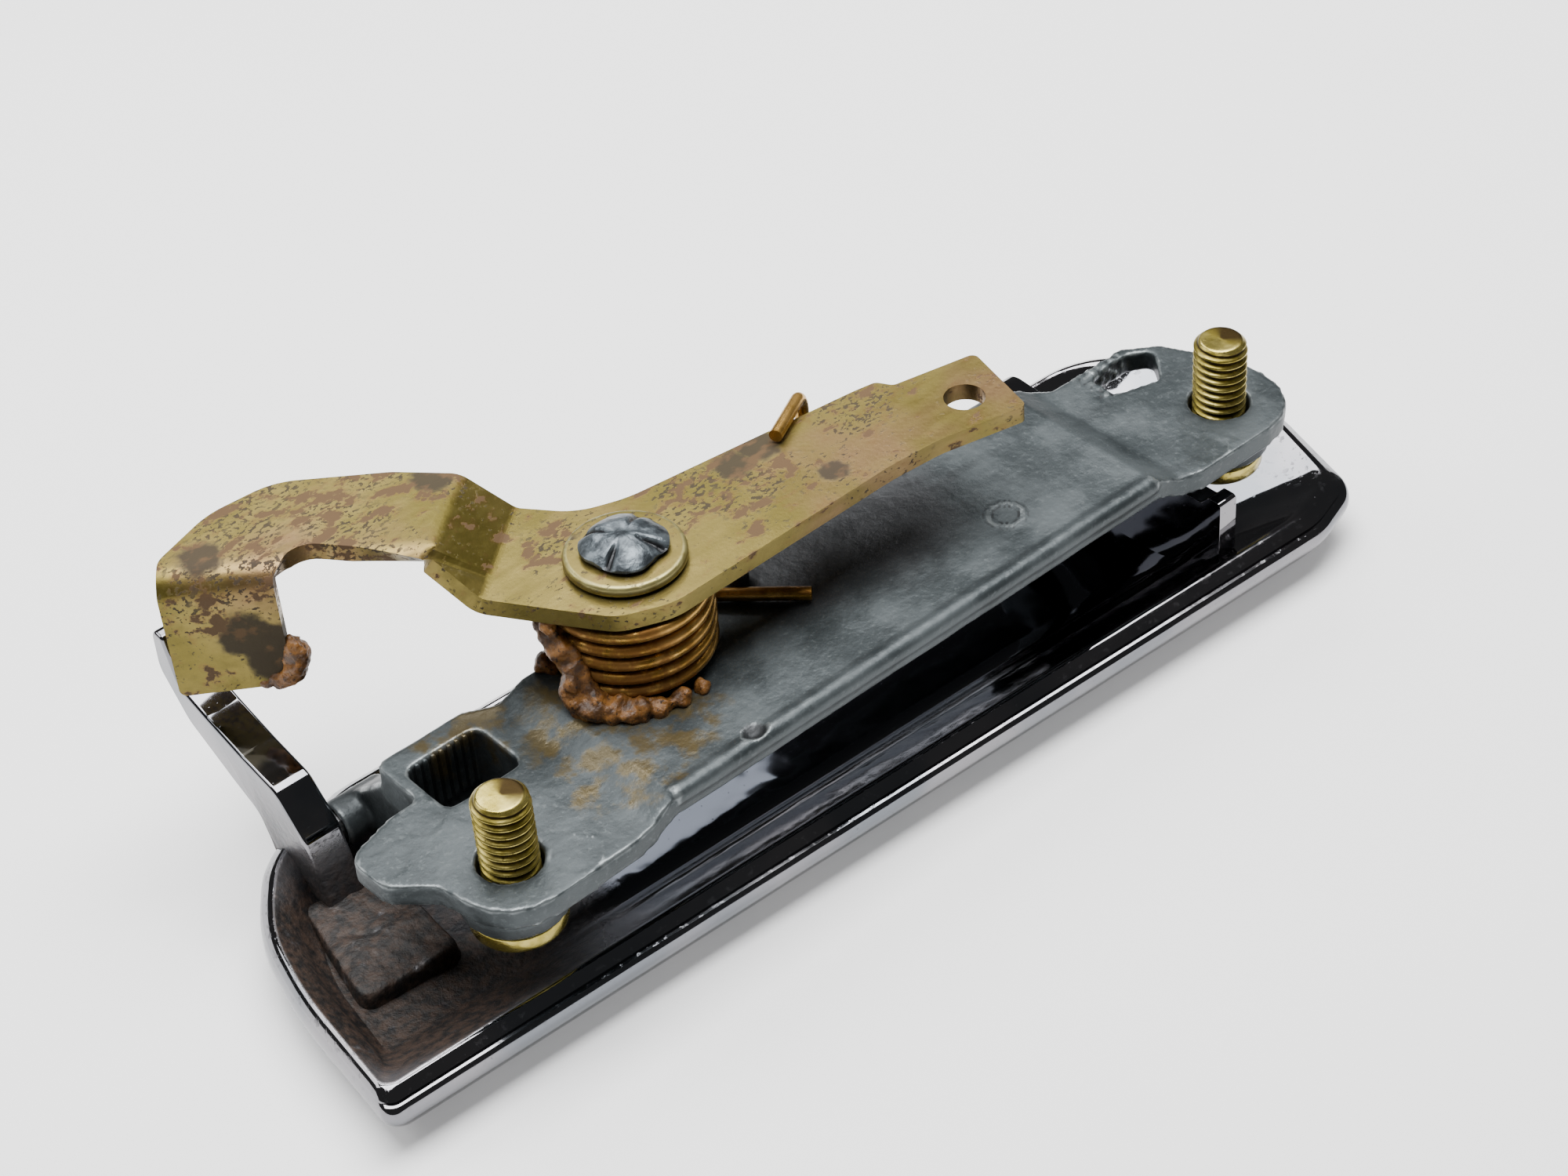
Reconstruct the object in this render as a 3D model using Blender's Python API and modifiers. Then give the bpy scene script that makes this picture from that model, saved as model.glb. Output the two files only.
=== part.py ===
"""Flap door handle, inner side up: a chromed pull flap, its die-cast bracket and its release lever.

Lengths are millimetres in the constants and metres in the model. Places are measured from the left
stud's axis at the top face of its pad: +X towards the right stud, +Y towards the hinge, +Z into the
door. The finished model stands on Z = 0 with its box centred on the Z axis.
"""
import math

import bmesh
import bpy
from mathutils import Matrix, Vector

MM = 0.001

# Clearances
TOUCH_GAP = 0.3          # between pieces that rest on each other
TURN_GAP = 0.3           # round a shaft that turns in a hole
JOIN_DEPTH = 0.8         # how far a joined shape is sunk into the bracket's plate

# Bracket: a flat casting with a pad at each stud and a raised middle
STUD_SPACING = 100.8
PLATE_THICKNESS = 2.6
PLATEAU_RISE = 1.4       # how far the middle stands above the pads
PLATEAU_START = 12.6     # the left ramp's foot
PLATEAU_END_INSET = 13.2  # the right ramp's foot, back from the right stud
RAMP_RUN = 3.4
NEAR_EDGE = -6.2
NEAR_EDGE_LEFT = 9.5     # where the left pad's near edge begins to draw in
FAR_EDGE = 18.6
EAR_SIDE_EDGE = 15.0     # the far edge beside the flap's right ear
BEAD_RADIUS = 1.15       # rolled lip along the near edge
BEAD_INSET = 0.7         # the lip's axis, in from the edge
BEAD_DROP = 0.63         # the lip's axis, below the raised middle
SKIRT_WIDTH = 2.0
SKIRT_DEPTH = 4.0
SKIRT_END_INSET = 16.2   # back from the right stud
NEAR_SKIRT_INSET = 4.4   # from the near edge, so that the lip overhangs it
NEAR_SKIRT_START = 18.6
FAR_SKIRT_INSET = 1.6
FAR_SKIRT_START = 10.6
POCKET_LEFT, POCKET_RIGHT = 0.0, 9.2
POCKET_NEAR, POCKET_FAR = 9.7, 17.3
POCKET_WALL = 1.5
POCKET_FAR_WALL = 2.8
POCKET_DEPTH = 9.0
BOSS_RADIUS = 6.3        # under each pad, round the stud
BOSS_DEPTH = 3.2
BOSS_TAPER = 0.7

# Studs
STUD_RADIUS = 3.0
STUD_HOLE_RADIUS = 3.4
STUD_TOP = 8.5
STUD_CHAMFER = 0.7
STUD_HEAD_RADIUS = 5.0
STUD_HEAD_HEIGHT = 2.7

# Pivot post, washer and staked head
PIVOT_X, PIVOT_Y = 26.9, 12.8
POST_RADIUS = 4.0
SHOULDER_RADIUS = 6.6
WASHER_RADIUS = 6.35
WASHER_THICKNESS = 1.2
STAKE_RADIUS = 4.4
STAKE_HEIGHT = 1.7
NECK_STEP = 0.4          # the post is this much slimmer above the lever

# Release lever: pressed sheet
LEVER_TOP = 13.9
SHEET = 2.0
RAMP_SLOPE_RUN = 5.3     # plan length of the ramp up to the raised end
RAISED_RISE = 4.4
RAMP_FOOT = (13.0, 18.4)       # near end of the fold at the ramp's foot
RAMP_FOOT_FAR = (24.4, 27.4)   # and its far end
BEND_RADIUS = 1.6
TAB_FOLD_NEAR = (-1.2, 33.2)   # ends of the tab's fold
TAB_FOLD_FAR = (-10.4, 40.3)
TAB_RADIUS = 3.0
TAB_DROP = 10.2          # straight part of the tab below its bend
ROD_EYE_RADIUS = 2.25
ROD_EYE_X, ROD_EYE_Y = 69.1, 7.6

# Torsion spring
WIRE = 1.5
COIL_RADIUS = 7.9        # to the wire's middle
COIL_POINTS = 20         # points in each turn
LOWER_END = (45.0, 6.0)  # where the lower leg's end lies
HOOK_AT = (55.6, 19.0)   # where the upper leg turns up past the lever's far edge
HOOK_RETURN = 6.4        # how far the hook comes back over the lever
LEG_PEG_RADIUS = 1.4
LEG_PEG_HEIGHT = 3.2
LEG_PEG_BACK = 8.0       # from the lower leg's end back along it

# Hinge between bracket and flap
HINGE_Y, HINGE_Z = 25.6, -10.3
PIN_RADIUS = 1.75
HINGE_BARREL_RADIUS = PIN_RADIUS + 0.85
FLAP_PLAY = 0.3          # along the hinge, at each side
CHEEK_WIDTH = 3.6        # walls that carry the barrels
RIGHT_BARREL = 8.0       # length of the barrel beside the right ear

# Flap: a chromed dish with an arm at its left end and an ear at its right
RIM_Z = -12.0
FLAP_DEPTH = 7.5         # from the rim down to the outer face
FLAP_WALL = 2.0
ARM_LEFT, ARM_WIDTH = -9.2, 4.4
EAR_LEFT, EAR_WIDTH = STUD_SPACING - 8.8, 2.6
LAND_TOP = -15.6         # flat that the arm stands on
EAR_WEB = 1.4            # material round the ear's pin hole
# The rim's outline in plan: x, y and corner radius
FLAP_CORNERS = [
    (-22.6, -7.5, 1.6), (60.0, -11.0, 60.0), (STUD_SPACING + 4.2, -13.0, 10.0),
    (STUD_SPACING + 11.8, -10.6, 5.0), (STUD_SPACING + 16.0, 3.0, 12.0), (STUD_SPACING + 17.2, 22.0, 9.0),
    (STUD_SPACING + 7.2, 30.2, 12.0), (0.0, 33.0, 10.0), (-11.2, 30.2, 12.0), (-18.0, 21.0, 8.0),
    (-20.8, 10.0, 10.0),
]

# Hinge pins: where each one starts and ends
LEFT_PIN_START, LEFT_PIN_END = ARM_LEFT + 1.2, 1.6
RIGHT_PIN_START, RIGHT_PIN_END = EAR_LEFT - 7.0, EAR_LEFT + EAR_WIDTH


# ---------------------------------------------------------------- helpers
def collection(name):
    """A new collection in the scene."""
    made = bpy.data.collections.new(name)
    bpy.context.scene.collection.children.link(made)
    return made


def material(name, colour, metallic, roughness):
    """A plain Principled material."""
    made = bpy.data.materials.new(name)
    made.use_nodes = True
    shader = made.node_tree.nodes["Principled BSDF"]
    shader.inputs["Base Color"].default_value = (*colour, 1.0)
    shader.inputs["Metallic"].default_value = metallic
    shader.inputs["Roughness"].default_value = roughness
    return made


def unit(x, y):
    """A unit vector in plan."""
    length = math.hypot(x, y)
    return x / length, y / length


def square_to(near, far):
    """The plan direction square to a fold line, to the left of the way from near to far."""
    return unit(near[1] - far[1], far[0] - near[0])


def rounded(corners, steps=4):
    """The corners (x, y, radius) of an outline, each replaced by an arc where it has a radius."""
    points = []
    count = len(corners)
    for i, (x, y, radius) in enumerate(corners):
        if radius <= 0:
            points.append((x, y))
            continue
        before = corners[i - 1]
        after = corners[(i + 1) % count]
        ax, ay = unit(before[0] - x, before[1] - y)
        bx, by = unit(after[0] - x, after[1] - y)
        half = math.acos(max(-1.0, min(1.0, ax * bx + ay * by))) / 2
        run = radius / math.tan(half)
        mx, my = unit(ax + bx, ay + by)
        centre = (x + mx * radius / math.sin(half), y + my * radius / math.sin(half))
        start = math.atan2(y + ay * run - centre[1], x + ax * run - centre[0])
        end = math.atan2(y + by * run - centre[1], x + bx * run - centre[0])
        turn = (end - start + math.pi) % (2 * math.pi) - math.pi
        for k in range(steps + 1):
            angle = start + turn * k / steps
            points.append((centre[0] + radius * math.cos(angle), centre[1] + radius * math.sin(angle)))
    return points


def mesh_object(name, bm, home):
    """An object holding a bmesh whose lengths are millimetres."""
    bmesh.ops.scale(bm, vec=(MM, MM, MM), verts=bm.verts)
    mesh = bpy.data.meshes.new(name)
    bm.to_mesh(mesh)
    bm.free()
    made = bpy.data.objects.new(name, mesh)
    home.objects.link(made)
    return made


def as_mesh(curve, home):
    """A mesh object made from a curve object, with its caps welded on; the curve is removed."""
    bpy.context.view_layer.update()
    evaluated = curve.evaluated_get(bpy.context.evaluated_depsgraph_get())
    mesh = bpy.data.meshes.new_from_object(evaluated)
    bm = bmesh.new()
    bm.from_mesh(mesh)
    bmesh.ops.remove_doubles(bm, verts=bm.verts, dist=1e-6)
    bmesh.ops.recalc_face_normals(bm, faces=bm.faces)
    bm.to_mesh(mesh)
    bm.free()
    name = curve.name
    place = curve.matrix_world.copy()
    bpy.data.objects.remove(curve)
    made = bpy.data.objects.new(name, mesh)
    home.objects.link(made)
    made.matrix_world = place
    return made


def plate(name, points, low, high, home, axis="Z"):
    """A flat outline raised from low to high along Z, or along X with the outline in Y and Z."""
    curve = bpy.data.curves.new(name, "CURVE")
    curve.dimensions = "2D"
    curve.fill_mode = "BOTH"
    curve.extrude = (high - low) / 2 * MM
    spline = curve.splines.new("POLY")
    spline.points.add(len(points) - 1)
    for point, (x, y) in zip(spline.points, points):
        point.co = (x * MM, y * MM, 0.0, 1.0)
    spline.use_cyclic_u = True
    made = bpy.data.objects.new(name, curve)
    home.objects.link(made)
    middle = (low + high) / 2 * MM
    if axis == "Z":
        made.matrix_world = Matrix.Translation((0, 0, middle))
    else:
        turn = Matrix(((0, 0, 1, middle), (1, 0, 0, 0), (0, 1, 0, 0), (0, 0, 0, 1)))
        made.matrix_world = turn
    return bake_place(as_mesh(made, home))


def bake_place(thing):
    """Move an object's place into its mesh."""
    thing.data.transform(thing.matrix_world)
    thing.matrix_world = Matrix.Identity(4)
    return thing


def drum(name, centre, radius, low, high, home, axis="Z", top_radius=None, segments=32):
    """A cylinder or cone along Z or X."""
    bm = bmesh.new()
    upper = radius if top_radius is None else top_radius
    bmesh.ops.create_cone(
        bm, cap_ends=True, segments=segments, radius1=radius, radius2=upper, depth=high - low
    )
    middle = (low + high) / 2
    if axis == "X":
        bmesh.ops.rotate(bm, verts=bm.verts, cent=(0, 0, 0), matrix=Matrix.Rotation(math.pi / 2, 3, "Y"))
        place = (middle, centre[0], centre[1])
    else:
        place = (centre[0], centre[1], middle)
    bmesh.ops.translate(bm, verts=bm.verts, vec=place)
    return mesh_object(name, bm, home)


def turned(name, profile, centre, home, steps=32):
    """A profile of (radius, height) points from top to bottom, turned round Z with a Screw modifier."""
    bm = bmesh.new()
    verts = [bm.verts.new((r, 0, z)) for r, z in profile]
    for a, b in zip(verts, verts[1:]):
        bm.edges.new((a, b))
    made = mesh_object(name, bm, home)
    made.location = (centre[0] * MM, centre[1] * MM, 0)
    screw = made.modifiers.new("turn", "SCREW")
    screw.steps = steps
    screw.render_steps = steps
    screw.use_merge_vertices = True
    screw.merge_threshold = 1e-6
    return made


def wire(name, points, radius, home):
    """A round wire through the points."""
    curve = bpy.data.curves.new(name, "CURVE")
    curve.dimensions = "3D"
    curve.bevel_depth = radius * MM
    curve.bevel_resolution = 2
    curve.use_fill_caps = True
    spline = curve.splines.new("POLY")
    spline.points.add(len(points) - 1)
    for point, place in zip(spline.points, points):
        point.co = (place[0] * MM, place[1] * MM, place[2] * MM, 1.0)
    made = bpy.data.objects.new(name, curve)
    home.objects.link(made)
    return made


def boolean(body, tool, operation):
    """Cut or join with a modifier; the tool is hidden."""
    tool.hide_render = True
    tool.display_type = "WIRE"
    modifier = body.modifiers.new(operation.lower() + "_" + tool.name, "BOOLEAN")
    modifier.operation = operation
    modifier.solver = "EXACT"
    modifier.object = tool


def smooth(thing, finish):
    """Give a piece its material, and smooth shading except across sharp edges."""
    thing.data.materials.clear()
    thing.data.materials.append(finish)
    if thing.type == "MESH":
        thing.data.shade_smooth()
        thing.data.set_sharp_from_angle(angle=math.radians(35))


# ---------------------------------------------------------------- bracket
def bracket_outline():
    """The casting's outline in plan, from the left pad round to the right pad and back."""
    right = STUD_SPACING
    return rounded([
        (-5.6, -7.4, 6.5), (NEAR_EDGE_LEFT, -7.2, 3.0), (PLATEAU_START + 2.5, NEAR_EDGE, 2.0),
        (right - PLATEAU_END_INSET - 1, NEAR_EDGE, 2.0), (right - PLATEAU_END_INSET + 2.5, -7.3, 2.0),
        (right + 7.6, -7.4, 7.0), (right + 7.2, 4.0, 4.0), (right + 3.4, 12.0, 3.0),
        (right - 0.6, EAR_SIDE_EDGE, 2.0), (right - 11.6, EAR_SIDE_EDGE, 1.0),
        (right - 14.2, FAR_EDGE - 1.2, 1.5), (PLATEAU_START, FAR_EDGE, 1.5),
        (POCKET_WALL + 8.0, FAR_EDGE + 1.6, 1.0), (-POCKET_WALL, FAR_EDGE + 1.6, 1.0),
        (-POCKET_WALL, 13.2, 0.6), (-4.6, 13.2, 1.6), (-11.4, 11.2, 2.4), (-11.0, 5.4, 2.0),
        (-7.3, 2.0, 3.0),
    ])


def plateau_height(x):
    """How far the plate's faces stand above the pads' level at x."""
    left = (x - PLATEAU_START) / RAMP_RUN
    right = (STUD_SPACING - PLATEAU_END_INSET - x) / RAMP_RUN
    return PLATEAU_RISE * max(0.0, min(1.0, left, right))


def raise_plateau(thing):
    """Crease a plate at the ramps and lift its middle."""
    bm = bmesh.new()
    bm.from_mesh(thing.data)
    end = STUD_SPACING - PLATEAU_END_INSET
    for x in (PLATEAU_START, PLATEAU_START + RAMP_RUN, end - RAMP_RUN, end):
        geometry = bm.verts[:] + bm.edges[:] + bm.faces[:]
        bmesh.ops.bisect_plane(bm, geom=geometry, dist=1e-7, plane_co=(x * MM, 0, 0), plane_no=(1, 0, 0))
    for vert in bm.verts:
        vert.co.z += plateau_height(vert.co.x / MM) * MM
    bm.to_mesh(thing.data)
    bm.free()


def bracket(home, tools):
    """The die casting: plate, skirts, bosses, hinge barrels, pivot post and pockets."""
    right = STUD_SPACING
    body = plate("base_bracket", bracket_outline(), -PLATE_THICKNESS, 0.0, home)
    raise_plateau(body)

    bead_start, bead_end = PLATEAU_START + RAMP_RUN, right - PLATEAU_END_INSET - RAMP_RUN
    bead = drum("near_bead", (NEAR_EDGE + BEAD_INSET, PLATEAU_RISE - BEAD_DROP),
                BEAD_RADIUS, bead_start, bead_end, tools, "X", segments=12)
    boolean(body, bead, "UNION")

    raised_bottom = PLATEAU_RISE - PLATE_THICKNESS
    skirt_end = right - SKIRT_END_INSET
    near_face = NEAR_EDGE + NEAR_SKIRT_INSET
    far_face = FAR_EDGE - FAR_SKIRT_INSET
    skirts = (
        ("near_skirt", NEAR_SKIRT_START, near_face, near_face + SKIRT_WIDTH),
        ("far_skirt", FAR_SKIRT_START, far_face - SKIRT_WIDTH, far_face),
    )
    for name, start, near, far in skirts:
        shape = [(start, near), (skirt_end, near), (skirt_end, far), (start, far)]
        skirt = plate(name, shape, raised_bottom - SKIRT_DEPTH, raised_bottom + JOIN_DEPTH, tools)
        boolean(body, skirt, "UNION")

    pad_join = -PLATE_THICKNESS + JOIN_DEPTH
    for side, x in (("left", 0.0), ("right", right)):
        boss = drum(side + "_boss", (x, 0), BOSS_RADIUS - BOSS_TAPER, -PLATE_THICKNESS - BOSS_DEPTH,
                    pad_join, tools, top_radius=BOSS_RADIUS, segments=32)
        boolean(body, boss, "UNION")

    box_left, box_right = POCKET_LEFT - POCKET_WALL, POCKET_RIGHT + POCKET_WALL
    box_near, box_far = POCKET_NEAR - POCKET_WALL, POCKET_FAR + POCKET_FAR_WALL
    box = plate("pocket_box", rounded([(box_left, box_near, 0), (box_right, box_near, 0),
                                       (box_right, box_far, 0.8), (box_left, box_far, 0.8)]),
                -POCKET_DEPTH, pad_join, tools)
    boolean(body, box, "UNION")

    # Each cheek slopes down from the plate's far side and ends in a barrel round the hinge axis.
    reach = HINGE_BARREL_RADIUS
    cheek_shape = rounded([
        (13.0, pad_join, 0), (FAR_EDGE + 0.6, pad_join, 2.0),
        (HINGE_Y + reach * 0.5, HINGE_Z + reach * 0.7, 0), (HINGE_Y - reach * 0.5, HINGE_Z - reach * 0.7, 0),
        (13.0, -POCKET_DEPTH + 0.6, 2.0),
    ])
    left_cheek = -POCKET_WALL + 0.2
    right_barrel_end = EAR_LEFT - FLAP_PLAY
    right_cheek = right_barrel_end - 2.7 - CHEEK_WIDTH
    cheeks = (
        ("left", ARM_LEFT + ARM_WIDTH + FLAP_PLAY, left_cheek + CHEEK_WIDTH, left_cheek),
        ("right", right_barrel_end - RIGHT_BARREL, right_barrel_end, right_cheek),
    )
    for side, barrel_start, barrel_end, cheek_start in cheeks:
        cheek = plate(side + "_cheek", cheek_shape, cheek_start, cheek_start + CHEEK_WIDTH, tools, "X")
        boolean(body, cheek, "UNION")
        barrel = drum(side + "_barrel", (HINGE_Y, HINGE_Z), reach, barrel_start, barrel_end,
                      tools, "X", segments=24)
        boolean(body, barrel, "UNION")

    # The post: a shoulder inside the coil, the pivot, and the head staked over the washer.
    washer_top = LEVER_TOP + TOUCH_GAP + WASHER_THICKNESS
    shoulder_top = LEVER_TOP - SHEET - TOUCH_GAP
    foot = PLATEAU_RISE - JOIN_DEPTH
    head_foot = washer_top + TOUCH_GAP
    neck = POST_RADIUS - NECK_STEP
    post = turned("pivot_post", [
        (0.0, head_foot + STAKE_HEIGHT), (STAKE_RADIUS * 0.55, head_foot + STAKE_HEIGHT * 0.94),
        (STAKE_RADIUS * 0.86, head_foot + STAKE_HEIGHT * 0.68), (STAKE_RADIUS, head_foot + 0.35),
        (STAKE_RADIUS, head_foot), (neck, head_foot), (neck, LEVER_TOP),
        (POST_RADIUS, LEVER_TOP), (POST_RADIUS, shoulder_top), (SHOULDER_RADIUS, shoulder_top),
        (SHOULDER_RADIUS, foot), (0.0, foot),
    ], (PIVOT_X, PIVOT_Y), tools)
    boolean(body, post, "UNION")

    peg = drum("leg_peg", leg_peg_place(), LEG_PEG_RADIUS, foot, PLATEAU_RISE + LEG_PEG_HEIGHT,
               tools, segments=16)
    boolean(body, peg, "UNION")

    left_pocket = rounded([(POCKET_LEFT, POCKET_NEAR, 1), (POCKET_RIGHT, POCKET_NEAR, 1),
                           (POCKET_RIGHT, POCKET_FAR, 1), (POCKET_LEFT, POCKET_FAR, 1)], 2)
    right_pocket = rounded([(right - 6.8, 9.2, 0.8), (right - 1.4, 7.6, 1.0), (right + 2.0, 11.8, 0.8),
                            (right - 0.6, 13.4, 0.8), (right - 6.8, 13.4, 0.8)], 2)
    axis = (HINGE_Y, HINGE_Z)
    pin_hole = PIN_RADIUS + TOUCH_GAP
    above, below = PLATEAU_RISE + 2.0, -POCKET_DEPTH - 3.0
    cuts = [
        drum("left_pin_hole", axis, pin_hole, ARM_LEFT, LEFT_PIN_END + TOUCH_GAP, tools, "X", segments=20),
        drum("right_pin_hole", axis, pin_hole, RIGHT_PIN_START - TOUCH_GAP, EAR_LEFT + 6, tools, "X",
             segments=20),
        plate("left_pocket", left_pocket, below, above, tools),
        plate("right_pocket", right_pocket, -PLATE_THICKNESS - 2, above, tools),
        drum("left_stud_hole", (0, 0), STUD_HOLE_RADIUS, below, above, tools, segments=30),
        drum("right_stud_hole", (right, 0), STUD_HOLE_RADIUS, below, above, tools, segments=30),
    ]
    for cut in cuts:
        boolean(body, cut, "DIFFERENCE")
    return body


def stud(name, x, home):
    """A threaded stud with its round head under the pad."""
    head_top = -PLATE_THICKNESS - BOSS_DEPTH - TOUCH_GAP
    head_bottom = head_top - STUD_HEAD_HEIGHT
    return turned(name, [
        (0.0, STUD_TOP), (STUD_RADIUS - STUD_CHAMFER, STUD_TOP), (STUD_RADIUS, STUD_TOP - STUD_CHAMFER),
        (STUD_RADIUS, head_top), (STUD_HEAD_RADIUS, head_top), (STUD_HEAD_RADIUS, head_bottom + 1.0),
        (STUD_HEAD_RADIUS - 1.2, head_bottom), (0.0, head_bottom),
    ], (x, 0), home)


def hinge_pin(name, start, end, home):
    """A plain hinge pin along X."""
    return drum(name, (HINGE_Y, HINGE_Z), PIN_RADIUS, start, end, home, "X", segments=20)


def washer(home):
    """The washer under the staked head."""
    low = LEVER_TOP + TOUCH_GAP
    bore = POST_RADIUS - NECK_STEP + TURN_GAP
    return turned("pivot_washer", [
        (bore, low + WASHER_THICKNESS), (WASHER_RADIUS - 0.25, low + WASHER_THICKNESS),
        (WASHER_RADIUS, low + WASHER_THICKNESS - 0.25), (WASHER_RADIUS, low), (bore, low),
        (bore, low + WASHER_THICKNESS),
    ], (PIVOT_X, PIVOT_Y), home, steps=40)


# ---------------------------------------------------------------- lever
def unfolded(x, y):
    """A plan point of the raised end, moved out to where it lies in the flat sheet."""
    uphill = square_to(RAMP_FOOT, RAMP_FOOT_FAR)
    growth = math.hypot(RAMP_SLOPE_RUN, RAISED_RISE) - RAMP_SLOPE_RUN
    return x + uphill[0] * growth, y + uphill[1] * growth


def lever_blank():
    """The lever's outline as a flat sheet, with the raised end and the tab unfolded."""
    tab_out = square_to(TAB_FOLD_NEAR, TAB_FOLD_FAR)
    length = TAB_DROP + TAB_RADIUS * math.pi / 2

    def tab(start, run):
        x, y = unfolded(*start)
        return x + tab_out[0] * run, y + tab_out[1] * run

    raised_near = [(10.3, 23.6, 4.0), (6.2, 29.7, 3.0), (2.6, 34.4, 3.0)]
    raised_far = [(-8.8, 42.0, 3.0), (-1.2, 44.6, 10.0), (6.6, 44.1, 8.0), (16.1, 36.6, 6.0)]
    corners = [
        (26.0, 4.2, 8.0), (56.0, 4.7, 30.0), (62.3, 4.2, 12.0), (72.6, 1.8, 0.8), (75.3, 12.4, 0.8),
        (65.4, 14.6, 1.0), (64.4, 16.4, 1.0), (61.7, 16.9, 4.0), (48.8, 18.5, 10.0), (33.4, 20.4, 14.0),
        (28.2, 22.4, 8.0), (*RAMP_FOOT_FAR, 4.0),
    ]
    corners += [(*unfolded(x, y), r) for x, y, r in reversed(raised_far)]
    corners += [
        (*tab(TAB_FOLD_FAR, 2.0), 1.0), (*tab(TAB_FOLD_FAR, length), 0.8),
        (*tab(TAB_FOLD_NEAR, length - 0.4), 1.5), (*tab(TAB_FOLD_NEAR, length - 3.0), 1.5),
        (*tab(TAB_FOLD_NEAR, 1.0), 1.0),
    ]
    corners += [(*unfolded(x, y), r) for x, y, r in reversed(raised_near)]
    corners += [(*RAMP_FOOT, 3.0), (16.8, 12.4, 6.0), (20.6, 6.6, 5.0)]
    return rounded(corners, 3)


def bend(bm, start, out, angle, radius, steps):
    """Fold everything beyond the line through start downwards by angle about a bend of this radius.

    out is the plan direction that points beyond the line. The bend's arc starts at the line.
    """
    side = Vector((out[0], out[1], 0.0))
    origin = Vector((start[0], start[1], 0.0))
    arc = radius * abs(angle)
    for k in range(steps + 1):
        geometry = bm.verts[:] + bm.edges[:] + bm.faces[:]
        place = origin + side * arc * k / steps
        bmesh.ops.bisect_plane(bm, geom=geometry, dist=1e-5, plane_co=place, plane_no=side)
    way = math.copysign(1.0, angle)
    for vert in bm.verts:
        distance = (vert.co - origin).dot(side)
        if distance <= 1e-4:
            continue
        swept = min(distance, arc)
        turn = swept / radius
        along = radius * math.sin(turn) + (distance - swept) * math.cos(turn)
        drop = radius * (1 - math.cos(turn)) + (distance - swept) * math.sin(turn)
        height = vert.co.z
        vert.co += side * (along - distance + way * height * math.sin(turn))
        vert.co.z = height * math.cos(turn) - way * drop


def lever(home, tools):
    """The pressed lever: flat arm with the rod eye, ramp, raised end and down-turned tab."""
    flat = plate("release_lever", lever_blank(), -0.5, 0.5, home)
    bm = bmesh.new()
    bm.from_mesh(flat.data)
    bmesh.ops.scale(bm, vec=(1 / MM, 1 / MM, 1 / MM), verts=bm.verts)
    lower = [f for f in bm.faces if f.normal.z < 0.5]
    bmesh.ops.delete(bm, geom=lower, context="FACES")
    for vert in bm.verts:
        vert.co.z = 0.0

    # The tab first, then the ramp's head, then its foot, so that each fold starts in the flat sheet.
    tab_out = square_to(TAB_FOLD_NEAR, TAB_FOLD_FAR)
    near = unfolded(*TAB_FOLD_NEAR)
    back = TAB_RADIUS * 0.6
    bend_tab(bm, (near[0] - tab_out[0] * back, near[1] - tab_out[1] * back), tab_out)
    uphill = square_to(RAMP_FOOT, RAMP_FOOT_FAR)
    slope = math.hypot(RAMP_SLOPE_RUN, RAISED_RISE)
    angle = math.atan2(RAISED_RISE, RAMP_SLOPE_RUN)
    half_arc = BEND_RADIUS * angle / 2
    for run, turn in ((slope - half_arc, angle), (-half_arc, -angle)):
        start = (RAMP_FOOT[0] + uphill[0] * run, RAMP_FOOT[1] + uphill[1] * run)
        bend(bm, start, uphill, turn, BEND_RADIUS, 2)
    bmesh.ops.remove_doubles(bm, verts=bm.verts, dist=1e-4)
    bmesh.ops.translate(bm, verts=bm.verts, vec=(0, 0, LEVER_TOP))
    bmesh.ops.scale(bm, vec=(MM, MM, MM), verts=bm.verts)
    bm.to_mesh(flat.data)
    bm.free()
    wall = flat.modifiers.new("sheet", "SOLIDIFY")
    wall.thickness = SHEET * MM
    wall.offset = -1.0
    wall.use_even_offset = True
    low, high = LEVER_TOP - 2 * SHEET, LEVER_TOP + SHEET
    cuts = [
        drum("pivot_hole", (PIVOT_X, PIVOT_Y), POST_RADIUS + TURN_GAP, low, high, tools),
        drum("rod_eye", (ROD_EYE_X, ROD_EYE_Y), ROD_EYE_RADIUS, low, high, tools, segments=24),
    ]
    for cut in cuts:
        boolean(flat, cut, "DIFFERENCE")
    return flat


def bend_tab(bm, start, out):
    """Turn the tab down square; only the strip beyond the raised end's own width is folded."""
    side = Vector((out[0], out[1], 0.0))
    origin = Vector((start[0], start[1], 0.0))
    across = Vector((-out[1], out[0], 0.0))
    arc = TAB_RADIUS * math.pi / 2
    steps = 3
    for k in range(steps + 1):
        geometry = bm.verts[:] + bm.edges[:] + bm.faces[:]
        place = origin + side * arc * k / steps
        bmesh.ops.bisect_plane(bm, geom=geometry, dist=1e-5, plane_co=place, plane_no=side)
    reach = 16.0
    for vert in bm.verts:
        distance = (vert.co - origin).dot(side)
        sideways = abs((vert.co - origin).dot(across))
        if distance <= 1e-4 or sideways > reach:
            continue
        swept = min(distance, arc)
        turn = swept / TAB_RADIUS
        along = TAB_RADIUS * math.sin(turn)
        drop = TAB_RADIUS * (1 - math.cos(turn)) + (distance - swept)
        vert.co += side * (along - distance)
        vert.co.z = -drop


# ---------------------------------------------------------------- spring
def coil_levels():
    """Heights of the wire's middle at the coil's bottom and top."""
    low = PLATEAU_RISE + TOUCH_GAP + WIRE / 2
    high = LEVER_TOP - SHEET - TOUCH_GAP - WIRE / 2
    return low, high


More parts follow.
